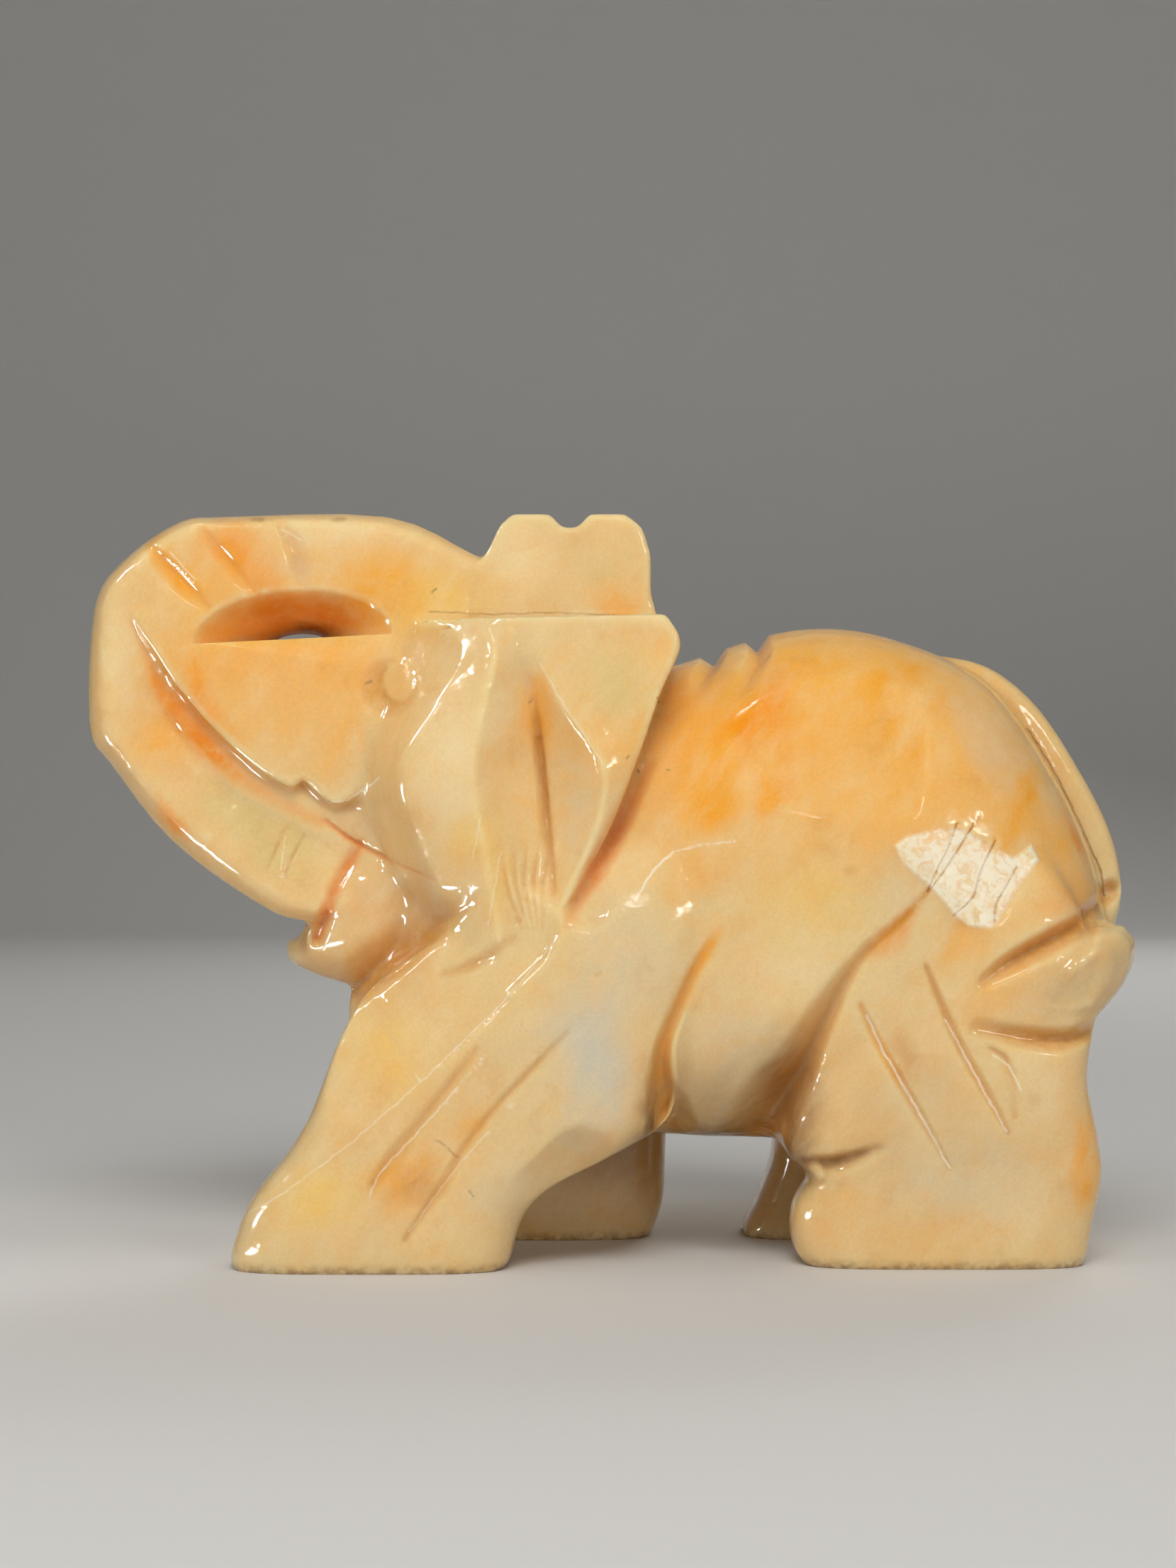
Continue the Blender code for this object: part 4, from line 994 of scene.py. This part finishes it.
FAR_CLOUDS = [  # the same, on the far flank
    (12.0, 24.6, 7.0, 3.6, 20, YELLOW, 0.6),
    (4.0, 25.0, 3.4, 1.3, 70, ORANGE, 0.9),
    (10.6, 21.0, 3.2, 1.2, 60, ORANGE, 0.9),
    (16.6, 25.2, 3.4, 1.4, -50, AMBER, 1.0),
    (19.6, 17.0, 4.2, 2.0, -60, FLAME, 0.5),
    (6.4, 12.6, 5.0, 4.0, 20, WHITE, 0.9),
    (0.4, 11.6, 2.4, 4.6, 4, COOL, 0.9),
    (14.4, 7.0, 5.0, 4.0, 0, WHITE, 0.8),
    (16.4, 3.0, 2.6, 1.6, 30, AMBER, 0.8),
    (-4.6, 4.6, 2.4, 3.6, 30, YELLOW, 0.8),
    (-3.4, 2.4, 2.4, 1.2, 30, OCHRE, 0.7),
    (-17.0, 27.4, 3.6, 2.2, 30, ORANGE, 0.8),
    (-13.6, 25.2, 2.6, 1.4, 60, AMBER, 0.8),
    (-7.0, 24.0, 2.8, 5.0, 0, PALE, 0.9),
    (0.6, 26.6, 2.6, 3.4, 0, AMBER, 0.5),
    (-18.6, 20.4, 4.4, 2.0, -35, GREEN, 0.9),
    (-22.6, 29.6, 1.8, 3.6, 0, AMBER, 0.6),
]  # fmt: skip
PAINTED_SHADE_CLOUDS = [  # middle, half sizes, colour, strength: painted shade deep in the slot, darkest at the hole, with a pink streak low in it, and painted shade between the legs and under the belly
    ((-14.9, -2.6, 31.3), (5.8, 3.6, 1.6), DEEP, 1.0),
    ((-14.7, -0.6, 30.4), (2.4, 2.2, 0.8), UMBER, 0.8),
    ((-17.3, -3.0, 29.2), (1.6, 2.0, 0.35), BLUSH, 0.8),
    ((4.6, 0.0, 5.0), (8.5, 7.0, 5.0), UMBER, 0.9),
    ((2.5, -8.6, 6.8), (2.0, 4.5, 4.6), UMBER, 0.8),
    ((8.4, -8.6, 8.0), (2.4, 4.5, 5.2), UMBER, 0.8),
    ((5.0, -6.0, 4.8), (7.0, 9.0, 3.2), SPECK_AND_SHADE, 1.0),
    ((2.6, -8.6, 6.0), (1.6, 4.0, 2.8), SPECK_AND_SHADE, 0.8),
    ((7.8, -8.4, 6.2), (2.2, 4.0, 3.0), SPECK_AND_SHADE, 0.9),
]
MARKS = [  # half width, colour, strength, the points it runs through
    (0.06, UMBER, 0.5, [(-8.4, 30.9), (-5.2, 30.75), (-3.1, 30.87), (1.4, 30.7)]),
    (0.09, UMBER, 0.8, [(20.3, 25.4), (21.7, 23.1), (22.9, 20.6), (23.8, 18.6), (24.1, 17.3)]),
    (0.08, UMBER, 0.45, [(-7.8, 6.4), (-6.8, 5.6)]),
    (0.04, SPECK_AND_SHADE, 0.25, [(-5.8, 8.1), (-5.2, 8.6)]),
    (0.04, SPECK_AND_SHADE, 0.25, [(-3.9, 12.0), (-3.9, 11.5)]),
    (0.06, SPECK_AND_SHADE, 0.5, [(-6.4, 4.1), (-6.1, 3.8)]),
    # The white marks from here down to the specks are painted highlights: on groove edges, crests, the
    # plate's edge, the ear, the shoulder and the trunk.
    (0.09, SHEEN, 1.0, [(11.9, 12.1), (12.7, 10.4), (14.0, 8.2), (15.8, 5.0)]),
    (0.08, SHEEN, 1.0, [(15.5, 11.9), (16.8, 9.5), (18.4, 6.7)]),
    (0.09, SHEEN, 0.9, [(17.7, 10.3), (18.4, 9.8), (19.0, 8.7)]),
    (0.05, SHEEN, 0.6, [(-16.6, 2.9), (-14.9, 3.9), (-11.7, 6.3), (-8.4, 9.2), (-4.5, 13.0), (-2.4, 15.6)]),
    (0.06, SHEEN, 0.7, [(-5.6, 10.3), (-8.2, 7.3), (-10.5, 4.8), (-10.9, 3.8)]),
    (0.05, SHEEN, 0.5, [(-4.3, 8.1), (-6.7, 5.4), (-9.1, 2.2)]),
    (0.07, SHEEN, 0.9, [(-13.7, 22.35), (-13.15, 21.85), (-12.3, 21.95), (-11.3, 22.6), (-10.7, 23.0)]),
    (0.05, SHEEN, 0.6, [(-3.1, 28.3), (-2.2, 26.7), (-0.3, 23.8)]),
    (0.10, SHEEN, 0.9, [(1.3, 17.4), (2.1, 18.75), (3.0, 19.55)]),
    (0.05, SHEEN, 0.8, [(3.0, 19.55), (4.15, 19.9), (5.9, 20.1)]),
    (0.04, SHEEN, 0.6, [(-5.8, 21.3), (-6.3, 18.9)]),
    (0.04, SHEEN, 0.6, [(-4.9, 19.6), (-5.5, 16.2)]),
    (0.05, SHEEN, 0.7, [(-15.3, 20.2), (-15.5, 18.6)]),
    (0.06, SHEEN, 0.7, [(-20.7, 33.7), (-19.5, 32.4)]),
    (0.06, SHEEN, 0.7, [(-15.4, 34.8), (-14.5, 34.3)]),
    (0.12, SPECK_AND_SHADE, 0.7, [(-11.4, 27.5), (-11.2, 27.6)]),
    (0.07, SPECK_AND_SHADE, 0.7, [(-8.3, 31.8), (-8.1, 32.0)]),
    (0.06, SPECK_AND_SHADE, 0.6, [(-3.1, 32.2), (-2.8, 31.9)]),
    (0.08, SPECK_AND_SHADE, 0.5, [(-3.6, 26.5), (-3.5, 26.6)]),
    (0.09, SPECK_AND_SHADE, 0.6, [(2.3, 26.7), (2.4, 26.6)]),
    (0.10, SPECK_AND_SHADE, 0.7, [(1.4, 23.4), (1.5, 23.3)]),
    (0.08, SPECK_AND_SHADE, 0.5, [(0.9, 23.9), (1.0, 24.0)]),
    (0.07, SPECK_AND_SHADE, 0.6, [(2.8, 23.4), (2.9, 23.4)]),
    (0.25, UMBER, 0.4, [(-12.9, 35.3), (-12.5, 35.3)]),
    (0.22, UMBER, 0.4, [(-16.8, 35.3), (-16.4, 35.3)]),
    (0.35, OCHRE, 0.35, [(11.0, 18.7), (11.3, 18.8)]),
    (0.18, OCHRE, 0.4, [(-0.5, 14.0), (-0.3, 14.1)]),
]
CLOUD_DEPTH, DEEP_CLOUD_DEPTH, CLOUD_EDGE = 9.0, 24.0, 0.9
LONG_CLOUD = 8.0
CLOUD_SEEK, UNFOUND_Y = 0.6, 6.0  # how near a point has to be to say how far out the skin is there
NOISE_SEED = 4


def shaken(spots, scale, octaves, reach):
    """The spots, pushed about by noise so that what is drawn there gets a ragged edge. The seed is set
    because this noise would start from the clock and come out different each time."""
    noise.seed_set(NOISE_SEED)
    pushes = [noise.turbulence_vector(spot, octaves, False) for spot in (spots * scale).tolist()]
    return spots + np.array(pushes) * reach


def smooth_share(share):
    share = np.clip(share, 0, 1)
    return share * share * (3 - 2 * share)


def lay(found, colour, share):
    """Lays a colour over those already found, each point by its own share."""
    share = np.clip(share, 0, 1)[:, None]
    found *= 1 - share
    found += np.array(colour) * share


def cloud_and_shade_colours(co):
    """The clouds' colour at each point, already multiplied by its strength. Some of the clouds are painted
    shade.
    """
    units = co / np.array(UNIT)
    ragged = shaken(units, scale=0.35, octaves=4, reach=0.7)
    found = np.zeros((len(co), 4))
    shown = []
    for side, clouds in ((NEAR, CLOUDS), (FAR, FAR_CLOUDS)):
        for x, z, long, tall, lean, colour, strength in clouds:
            near = np.hypot(units[:, 0] - x, units[:, 2] - z) < CLOUD_SEEK
            y = side * ((units[near, 1] * side).max() if near.any() else UNFOUND_Y)
            deep = DEEP_CLOUD_DEPTH if long > LONG_CLOUD else CLOUD_DEPTH
            shown.append(((x, y, z), (long, deep, tall), lean, colour, strength))
    # These clouds are painted shade, in the slot and between the legs, except one pink streak in the slot.
    shade_clouds = [(middle, size, 0, colour, strength) for middle, size, colour, strength in PAINTED_SHADE_CLOUDS]
    for middle, size, lean, colour, strength in shown + shade_clouds:
        x, y, z = (ragged - middle).T
        c, s = math.cos(math.radians(lean)), math.sin(math.radians(lean))
        reach = np.linalg.norm(np.column_stack([x * c + z * s, y, z * c - x * s]) / size, axis=1)
        lay(found, colour, strength * smooth_share((1 - reach) / CLOUD_EDGE))
    return found


def mark_share(units, half_width, path):
    """1 on a thin mark of the near flank, falling to 0 at its edge."""
    gap = along_path(units[:, [0, 2]], np.array(path))[0]
    return smooth_share(1 - gap / half_width) * (units[:, 1] < 0)


# %% [markdown]
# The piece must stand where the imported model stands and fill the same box. The soles are cut flat, and the
# small difference that smoothing left is taken up by fitting the box. All colours that have a place are
# worked out here and kept on the points, so the material stays light. The mesh is split along the marks to
# hold them.

# %% Flat soles, colours on the points, and the fit
MOST_TRIANGLES = 140000
MARK_GRAIN, MARK_MARGIN, MARK_SPLITS = 0.08, 0.03, 3
SOLE_CUT = 0.2
# Groove colour is partly stain and partly painted shade low in the deep grooves.
GROOVE_COLOUR_LEAN, GROOVE_COLOUR_MARGIN, GROOVE_COLOUR_TINT = 0.5, 0.1, 1.1
SCOOP_TINT, DOME_TINT, CRACK_TINT = 0.7, 1.2, 0.6
BEND_PASSES = 3


def thin_out(obj, triangles):
    """Brings the mesh down to about this many triangles, fewest where it is flat."""
    thin = obj.modifiers.new("thin_out", "DECIMATE")
    thin.ratio = min(1.0, triangles / sum(len(p.vertices) - 2 for p in obj.data.polygons))
    worked(obj)


def set_down(obj):
    """Cuts the soles flat."""
    with edited(obj) as bm:
        sole = min(v.co.z for v in bm.verts) + SOLE_CUT * MM
        every = [*bm.verts, *bm.edges, *bm.faces]
        bmesh.ops.bisect_plane(bm, geom=every, plane_co=(0, 0, sole), plane_no=(0, 0, -1), clear_outer=True)
        bmesh.ops.holes_fill(bm, edges=[e for e in bm.edges if e.is_boundary])
        bmesh.ops.triangulate(bm, faces=[f for f in bm.faces if len(f.verts) > 4])
        bmesh.ops.recalc_face_normals(bm, faces=bm.faces)


def split_along_marks(obj):
    """Halves the edges that lie on a mark, unless they are short already."""
    co = surface(obj)[0] / np.array(UNIT)
    ends = edge_ends(obj)
    middle = co[ends].mean(1)
    length = np.linalg.norm(co[ends[:, 0]] - co[ends[:, 1]], axis=1)
    on_mark = np.zeros(len(ends), bool)
    for half_width, _, _, path in MARKS:
        gap = along_path(middle[:, [0, 2]], np.array(path))[0]
        on_mark |= gap < half_width + MARK_MARGIN + length / 2
    on_mark &= (length > MARK_GRAIN) & (middle[:, 1] < 0)
    with edited(obj) as bm:
        edges = [edge for edge, picked in zip(bm.edges, on_mark) if picked]
        bmesh.ops.subdivide_edges(bm, edges=edges, cuts=1)
        bmesh.ops.triangulate(bm, faces=[f for f in bm.faces if len(f.verts) > 3])


def point_colours(co, normals):
    """The colour in grooves, lines, sockets, cracks and marks, already multiplied by its strength. In the
    deep grooves it is partly painted shade, and the white marks are painted highlights.
    """
    found = np.zeros((len(co), 4))
    for rows, colour, lean, sides in (*GROOVES.values(), *LINES.values()):
        shape, facing, _, strength = groove_shape(co, normals, rows, lean * GROOVE_COLOUR_LEAN, sides, GROOVE_COLOUR_MARGIN)
        lay(found, colour, shape * strength * np.clip(np.abs(facing) * 3, 0, 1) * GROOVE_COLOUR_TINT)
    scoop, dome = eye_shape(co)
    lay(found, OCHRE, (SCOOP_TINT * scoop - DOME_TINT * dome) * (np.abs(normals[:, 1]) > 0.3))
    lay(found, UMBER, crack_share(co) * CRACK_TINT)
    units = shaken(co / np.array(UNIT), scale=2.2, octaves=2, reach=0.05)
    for half_width, colour, strength, path in MARKS:
        lay(found, colour, strength * mark_share(units, half_width, path))
    return found


def edge_ends(obj):
    ends = np.empty(len(obj.data.edges) * 2, np.int32)
    obj.data.edges.foreach_get("vertices", ends)
    return ends.reshape(-1, 2)


def bend_of_skin(obj):
    """How sharply the skin bends at each point, per millimetre: above 0 on crests and below 0 in dips."""
    co, normals = surface(obj)
    a, b = edge_ends(obj).T
    way = co[b] - co[a]
    span = (way**2).sum(1) / MM
    bend_a = -2 * (way * normals[a]).sum(1) / span
    bend_b = 2 * (way * normals[b]).sum(1) / span
    size = len(co)
    count = np.bincount(a, minlength=size) + np.bincount(b, minlength=size)
    bend = (np.bincount(a, bend_a, size) + np.bincount(b, bend_b, size)) / count
    for _ in range(BEND_PASSES):
        around = np.bincount(a, bend[b], size) + np.bincount(b, bend[a], size)
        bend = (bend + around) / (count + 1)
    return bend


def add_layer(obj, name, values):
    """Keeps a number or a colour for each point of the mesh, under a name that the material reads."""
    kind, entry = ("FLOAT", "value") if values.ndim == 1 else ("FLOAT_COLOR", "color")
    layer = obj.data.attributes.new(name, kind, "POINT")
    layer.data.foreach_set(entry, values.astype(np.float32).ravel())


thin_out(elephant, MOST_TRIANGLES)
set_down(elephant)
add_layer(elephant, "bend", bend_of_skin(elephant))
for _ in range(MARK_SPLITS):
    split_along_marks(elephant)
points, normals = surface(elephant)
add_layer(elephant, "chip", chip_share(points))
add_layer(elephant, "cloud_and_shade", cloud_and_shade_colours(points))
add_layer(elephant, "stain_shade_and_sheen", point_colours(points, normals))
raw_low, raw_high = points.min(0), points.max(0)
fit = np.array(block) / (raw_high - raw_low)
points = (points - raw_low) * fit + np.array(low)
move_surface(elephant, points)
elephant.data.shade_smooth()
print("fitted by", fit.round(4), "triangles:", sum(len(p.vertices) - 2 for p in elephant.data.polygons))


def fitted(x, y, z):
    """Where a point in carver's units ends up after the fit, in metres."""
    return Vector((np.array(place(x, y, z)) - raw_low) * fit + np.array(low))


# %% [markdown]
# The material lays the colours that the points carry over a cream base, with mottling and streaks from
# noise in the object's own coordinates. So the pattern runs on over every edge, as it does in real stone.

# %% The stone
class Tree:
    """A short way to add nodes and links to a node tree."""

    def __init__(self, tree):
        self.tree = tree

    def node(self, kind, inputs=(), **settings):
        made = self.tree.nodes.new(kind)
        for key, value in settings.items():
            setattr(made, key, value)
        for key, value in dict(inputs).items():
            self.feed(value, made.inputs[key])
        return made

    def feed(self, value, socket):
        if isinstance(value, bpy.types.NodeSocket):
            self.tree.links.new(value, socket)
        else:
            socket.default_value = value

    def carried(self, name):
        """What the points carry under this name."""
        return self.node("ShaderNodeAttribute", attribute_name=name).outputs

    def math(self, operation, first, second=0.0):
        return self.node("ShaderNodeMath", {0: first, 1: second}, operation=operation).outputs[0]

    def vector(self, operation, first, second=(0, 0, 0)):
        made = self.node("ShaderNodeVectorMath", {0: first}, operation=operation)
        self.feed(second, made.inputs["Scale" if operation == "SCALE" else 1])
        return made.outputs["Value" if operation in ("LENGTH", "DOT_PRODUCT") else "Vector"]

    def mix(self, share, first, second):
        return self.node("ShaderNodeMix", {"Factor": share, 6: first, 7: second}, data_type="RGBA").outputs[2]

    def noise(self, point, scale, detail=3.0, roughness=0.5, distortion=0.0):
        inputs = {"Vector": point, "Scale": scale, "Detail": detail, "Roughness": roughness}
        made = self.node("ShaderNodeTexNoise", {**inputs, "Distortion": distortion})
        return made.outputs

    def ramp(self, value, low, high, to_low=0.0, to_high=1.0):
        inputs = {"Value": value, "From Min": low, "From Max": high, "To Min": to_low, "To Max": to_high}
        return self.node("ShaderNodeMapRange", inputs, interpolation_type="SMOOTHSTEP").outputs["Result"]


def new_material(name):
    """A material, a Tree for its nodes, and the inputs of its shader."""
    material = bpy.data.materials.new(name)
    material.use_nodes = True
    return material, Tree(material.node_tree), material.node_tree.nodes["Principled BSDF"].inputs


SOLE_DIRT = 0.6  # how high the dirt creeps up from the soles, in carver's units
WARMTH = (0.97, 0.90, 0.77)
BASE_HONEY = 0.3
STREAK_TURN, STREAK_SIZE = math.radians(-55), (2.5, 1.4, 1.0)
MOTTLING = [  # runs in streaks; noise scale, detail, roughness; where it starts and is full; share; colour
    (True, 0.9, 6.0, 0.65, 0.35, 0.75, 0.38, PALE),
    (False, 0.7, 6.0, 0.6, 0.45, 0.75, 0.2, AMBER),
    (False, 0.45, 5.0, 0.6, 0.55, 0.8, 0.28, OCHRE),
]
# Crests are made paler, partly wear and partly painted highlight, and dips darker ochre, which is painted
# shade.
CREST_WEAR_AND_HIGHLIGHT, DIP_SHADE = (0.2, 1.4, 0.0, 0.5), (-0.15, -1.4, 0.0, 0.22)  # from and to which bend, and share
POLISH = {
    "IOR": 1.54,
    "Subsurface Weight": 0.45,
    "Subsurface Radius": (1.0, 0.6, 0.3),
    "Subsurface Scale": 1.8 * MM,
}


def stone_material():
    material, tree, shader = new_material("honey_aventurine")
    units = tree.vector("SCALE", tree.node("ShaderNodeTexCoord").outputs["Object"], 1.0 / MM)

    def overlay(colour, name, share=1.0):
        """Lays the colour that the points carry under this name over the given one."""
        carried = tree.carried(name)
        kept = tree.math("SUBTRACT", 1.0, tree.math("MULTIPLY", carried["Alpha"], share))
        laid = tree.vector("SCALE", carried["Color"], share)
        return tree.vector("ADD", tree.vector("SCALE", colour, kept), laid)

    broad = tree.ramp(tree.noise(units, 0.09, 3.0)["Fac"], 0.35, 0.7)
    # The clouds the points carry include painted shade in the slot, between the legs and under the jaw.
    colour = overlay(tree.mix(tree.math("MULTIPLY", broad, BASE_HONEY), CREAM, HONEY), "cloud_and_shade")
    turned = {"Vector": units, "Rotation": (0, STREAK_TURN, 0), "Scale": STREAK_SIZE}
    streaks = tree.node("ShaderNodeMapping", turned, vector_type="TEXTURE").outputs[0]
    for in_streaks, scale, detail, roughness, start, full, share, paint in MOTTLING:
        mottle = tree.noise(streaks if in_streaks else units, scale, detail, roughness)["Fac"]
        mottle = tree.ramp(mottle, start, full)
        colour = tree.mix(tree.math("MULTIPLY", mottle, share), colour, paint)
    grain = tree.ramp(tree.noise(units, 7.0, 2.0)["Fac"], 0.25, 0.75, 0.97, 1.03)
    colour = tree.vector("SCALE", colour, grain)
    bend = tree.carried("bend")["Fac"]
    # Painted highlight and wear on the crests, painted shade in the dips.
    colour = tree.mix(tree.ramp(bend, *CREST_WEAR_AND_HIGHLIGHT), colour, PALE)
    colour = tree.mix(tree.ramp(bend, *DIP_SHADE), colour, OCHRE)
    patchy = tree.ramp(tree.noise(units, 1.5, 4.0, 0.6)["Fac"], 0.3, 0.6, 0.6, 1.0)
    # Over the mottling go the points' groove colours, partly stain and partly painted shade, and the marks,
    # whose white ones are painted highlights.
    colour = overlay(colour, "stain_shade_and_sheen", patchy)
    height = tree.node("ShaderNodeSeparateXYZ", {"Vector": units}).outputs["Z"]
    blotches = tree.ramp(tree.noise(units, 2.2, 2.0)["Fac"], 0.35, 0.65, 0.1, 0.6)
    dirt = tree.math("MULTIPLY", tree.ramp(height, SOLE_DIRT, 0.0), blotches)
    colour = tree.mix(dirt, colour, UMBER)
    # The chip's floor is whitened in patches: partly the fresh break's paler stone, partly painted sparkle.
    chip = tree.carried("chip")["Fac"]
    crinkle = tree.noise(units, 1.6, 6.0, 0.7, 0.8)["Fac"]
    glint = tree.math("MULTIPLY", chip, tree.ramp(crinkle, 0.38, 0.56, 0.2, 0.8))
    colour = tree.mix(glint, colour, SHEEN)
    tree.feed(tree.vector("MULTIPLY", colour, WARMTH), shader["Base Color"])

    rough = tree.ramp(tree.noise(units, 1.6, 4.0)["Fac"], 0.3, 0.8, 0.07, 0.16)
    tree.feed(tree.math("ADD", rough, tree.math("MULTIPLY", chip, 0.12)), shader["Roughness"])
    swell = tree.noise(units, 0.9, 2.0)["Fac"]
    fine = tree.noise(units, 5.0, 3.0)["Fac"]
    height = tree.math("ADD", swell, tree.math("MULTIPLY", fine, 0.04))
    height = tree.math("ADD", height, tree.math("MULTIPLY", tree.math("MULTIPLY", crinkle, chip), 0.7))
    bump = tree.node("ShaderNodeBump", {"Height": height, "Strength": 0.22, "Distance": 0.15 * MM})
    tree.feed(bump.outputs["Normal"], shader["Normal"])
    for name, value in POLISH.items():
        shader[name].default_value = value
    return material


elephant.data.materials.clear()
elephant.data.materials.append(stone_material())
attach(elephant, "root")
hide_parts("elephant_carving")

# %% [markdown]
# The stage is a pale sweep: a floor that curves up into a back wall, so no line crosses the picture behind
# the elephant. Its far ends and the room at eye height glow a little, as they would in a studio with pale
# walls.

# %% Stage
PAPER, PAPER_ROUGHNESS = srgb(214, 212, 208), 0.85
HALF_SWEEP, FLOOR_DEPTH, SWEEP_BEND, SWEEP_HEIGHT = 3.0, 0.35, 0.10, 0.60  # in metres
BEND_STEPS = 12
GLOW_START, GLOW_FULL, FAR_GLOW = 0.3, 0.9, 0.2


def add_sweep():
    profile = [(-HALF_SWEEP, 0.0)]
    for k in range(BEND_STEPS + 1):
        angle = math.pi / 2 * k / BEND_STEPS
        profile.append((FLOOR_DEPTH + SWEEP_BEND * math.sin(angle), SWEEP_BEND * (1 - math.cos(angle))))
    profile.append((FLOOR_DEPTH + SWEEP_BEND, SWEEP_HEIGHT))
    sweep = added("sweep")
    with edited(sweep) as bm:
        rows = [[bm.verts.new((x, y, z)) for x in (-HALF_SWEEP, HALF_SWEEP)] for y, z in profile]
        for a, b in zip(rows, rows[1:]):
            bm.faces.new((a[0], a[1], b[1], b[0]))
    sweep.data.shade_smooth()
    material, tree, shader = new_material("pale_paper")
    shader["Base Color"].default_value = shader["Emission Color"].default_value = PAPER
    shader["Roughness"].default_value = PAPER_ROUGHNESS
    spot = tree.node("ShaderNodeTexCoord").outputs["Object"]
    on_this_side = tree.vector("MINIMUM", spot, (HALF_SWEEP * 3, 0, 0))  # behind the elephant y counts as 0
    away = tree.vector("LENGTH", tree.vector("MULTIPLY", on_this_side, (1, 1, 0)))
    tree.feed(tree.ramp(away, GLOW_START, GLOW_FULL, 0.0, FAR_GLOW), shader["Emission Strength"])
    sweep.data.materials.append(material)


add_sweep()

# %% [markdown]
# The light is soft and comes from the front and above, with one window-shaped source on the right that the
# polished haunch mirrors. The camera stands where the photograph was taken from: level, low and close, with
# the whole left flank in view.

# %% Light and camera
def add_area(name, spot, aim, width, height, watts):
    """A rectangular light that faces aim and stays out of the picture itself."""
    light = bpy.data.lights.new(name, "AREA")
    light.shape, light.size, light.size_y, light.energy = "RECTANGLE", width, height, watts
    obj = added(name, light)
    obj.location = spot
    obj.rotation_euler = (Vector(aim) - Vector(spot)).to_track_quat("-Z", "Y").to_euler()
    obj.visible_camera = False
    return obj


CENTRE = fitted(0, 0, 17)


def seen_along(azimuth, elevation, distance, aim=CENTRE):
    """A spot in this direction from aim: azimuth 0 is where the camera stands, and positive is right."""
    turn, rise = math.radians(azimuth), math.radians(elevation)
    flat = math.cos(rise) * distance
    return aim + Vector((math.sin(turn) * flat, -math.cos(turn) * flat, math.sin(rise) * distance))


FACE_SPOT, CURL_SPOT = fitted(-16, -5, 27), fitted(-17, -4, 23)
FILLS = [  # soft lights that are kept out of the mirror: name, aim, azimuth, elevation, distance, size, power
    ("front_fill", CENTRE, -2, 42, 0.34, 0.14, 0.60),
    ("left_fill", CENTRE, -55, 24, 0.30, 0.10, 0.13),
    ("top_fill", CENTRE, 60, 70, 0.34, 0.16, 0.09),
    ("face_fill", FACE_SPOT, -20, 15, 0.07, 0.02, 0.0036),
    ("right_fill", CENTRE, 33, 20, 0.27, 0.08, 0.06),
    ("back_fill", CENTRE, 158, 32, 0.36, 0.14, 0.34),
]
for name, aim, azimuth, elevation, distance, side, watts in FILLS:
    fill = add_area(name, seen_along(azimuth, elevation, distance, aim), aim, side, side, watts)
    fill.visible_glossy = False

CARDS = [  # bright cards that only the polish sees: name, aim, azimuth, elevation, distance, size, power
    ("ridge_card", CENTRE, -86, 35, 0.22, 0.014, 0.020, 0.09),
    ("leg_card", CENTRE, -66, 39, 0.22, 0.012, 0.012, 0.028),
    ("high_card", CENTRE, -34, 66, 0.24, 0.030, 0.006, 0.015),
    ("arc_card", CENTRE, 4, 31, 0.24, 0.022, 0.005, 0.005),
    ("plate_card", CURL_SPOT, -56, -46, 0.034, 0.014, 0.009, 0.0236),
    ("fold_card", CURL_SPOT, -77, -17, 0.034, 0.006, 0.007, 0.005),
]
for name, aim, azimuth, elevation, distance, width, height, watts in CARDS:
    card = add_area(name, seen_along(azimuth, elevation, distance, aim), aim, width, height, watts)
    card.visible_diffuse = False

CHIP_SPOT = fitted(16.6, -9, 18.8)
add_area("window", seen_along(33, 20, 0.27, CHIP_SPOT), CHIP_SPOT, 0.035, 0.03, 0.045)

SKY = (0.96, 0.95, 0.94, 1.0)
EYE_HEIGHT_SKY, HIGH_SKY = (0.05, 0.14), (0.3, 0.06)  # rise of the direction, and brightness there
world = bpy.data.worlds.new("studio")
bpy.context.scene.world = world
world.use_nodes = True
sky = world.node_tree.nodes["Background"].inputs
sky["Color"].default_value = SKY
tree = Tree(world.node_tree)
way = tree.node("ShaderNodeTexCoord").outputs["Generated"]
rise = tree.math("ABSOLUTE", tree.node("ShaderNodeSeparateXYZ", {"Vector": way}).outputs["Z"])
(near_rise, bright), (high_rise, dim) = EYE_HEIGHT_SKY, HIGH_SKY
tree.feed(tree.ramp(rise, near_rise, high_rise, bright, dim), sky["Strength"])

PHOTO_HEIGHT = 2212
FOCAL_PIXELS = 4930
CAMERA_SPOT = (-0.95, -170.0, 22.5)
camera = added("camera", bpy.data.cameras.new("camera"))
camera.data.sensor_width = 36.0
camera.data.lens = FOCAL_PIXELS * camera.data.sensor_width / PHOTO_HEIGHT
camera.data.clip_start = 0.01
camera.location = Vector(CAMERA_SPOT) * MM
camera.rotation_euler = (math.radians(90), 0, 0)
bpy.context.scene.camera = camera
bpy.context.scene.view_settings.view_transform = "Standard"
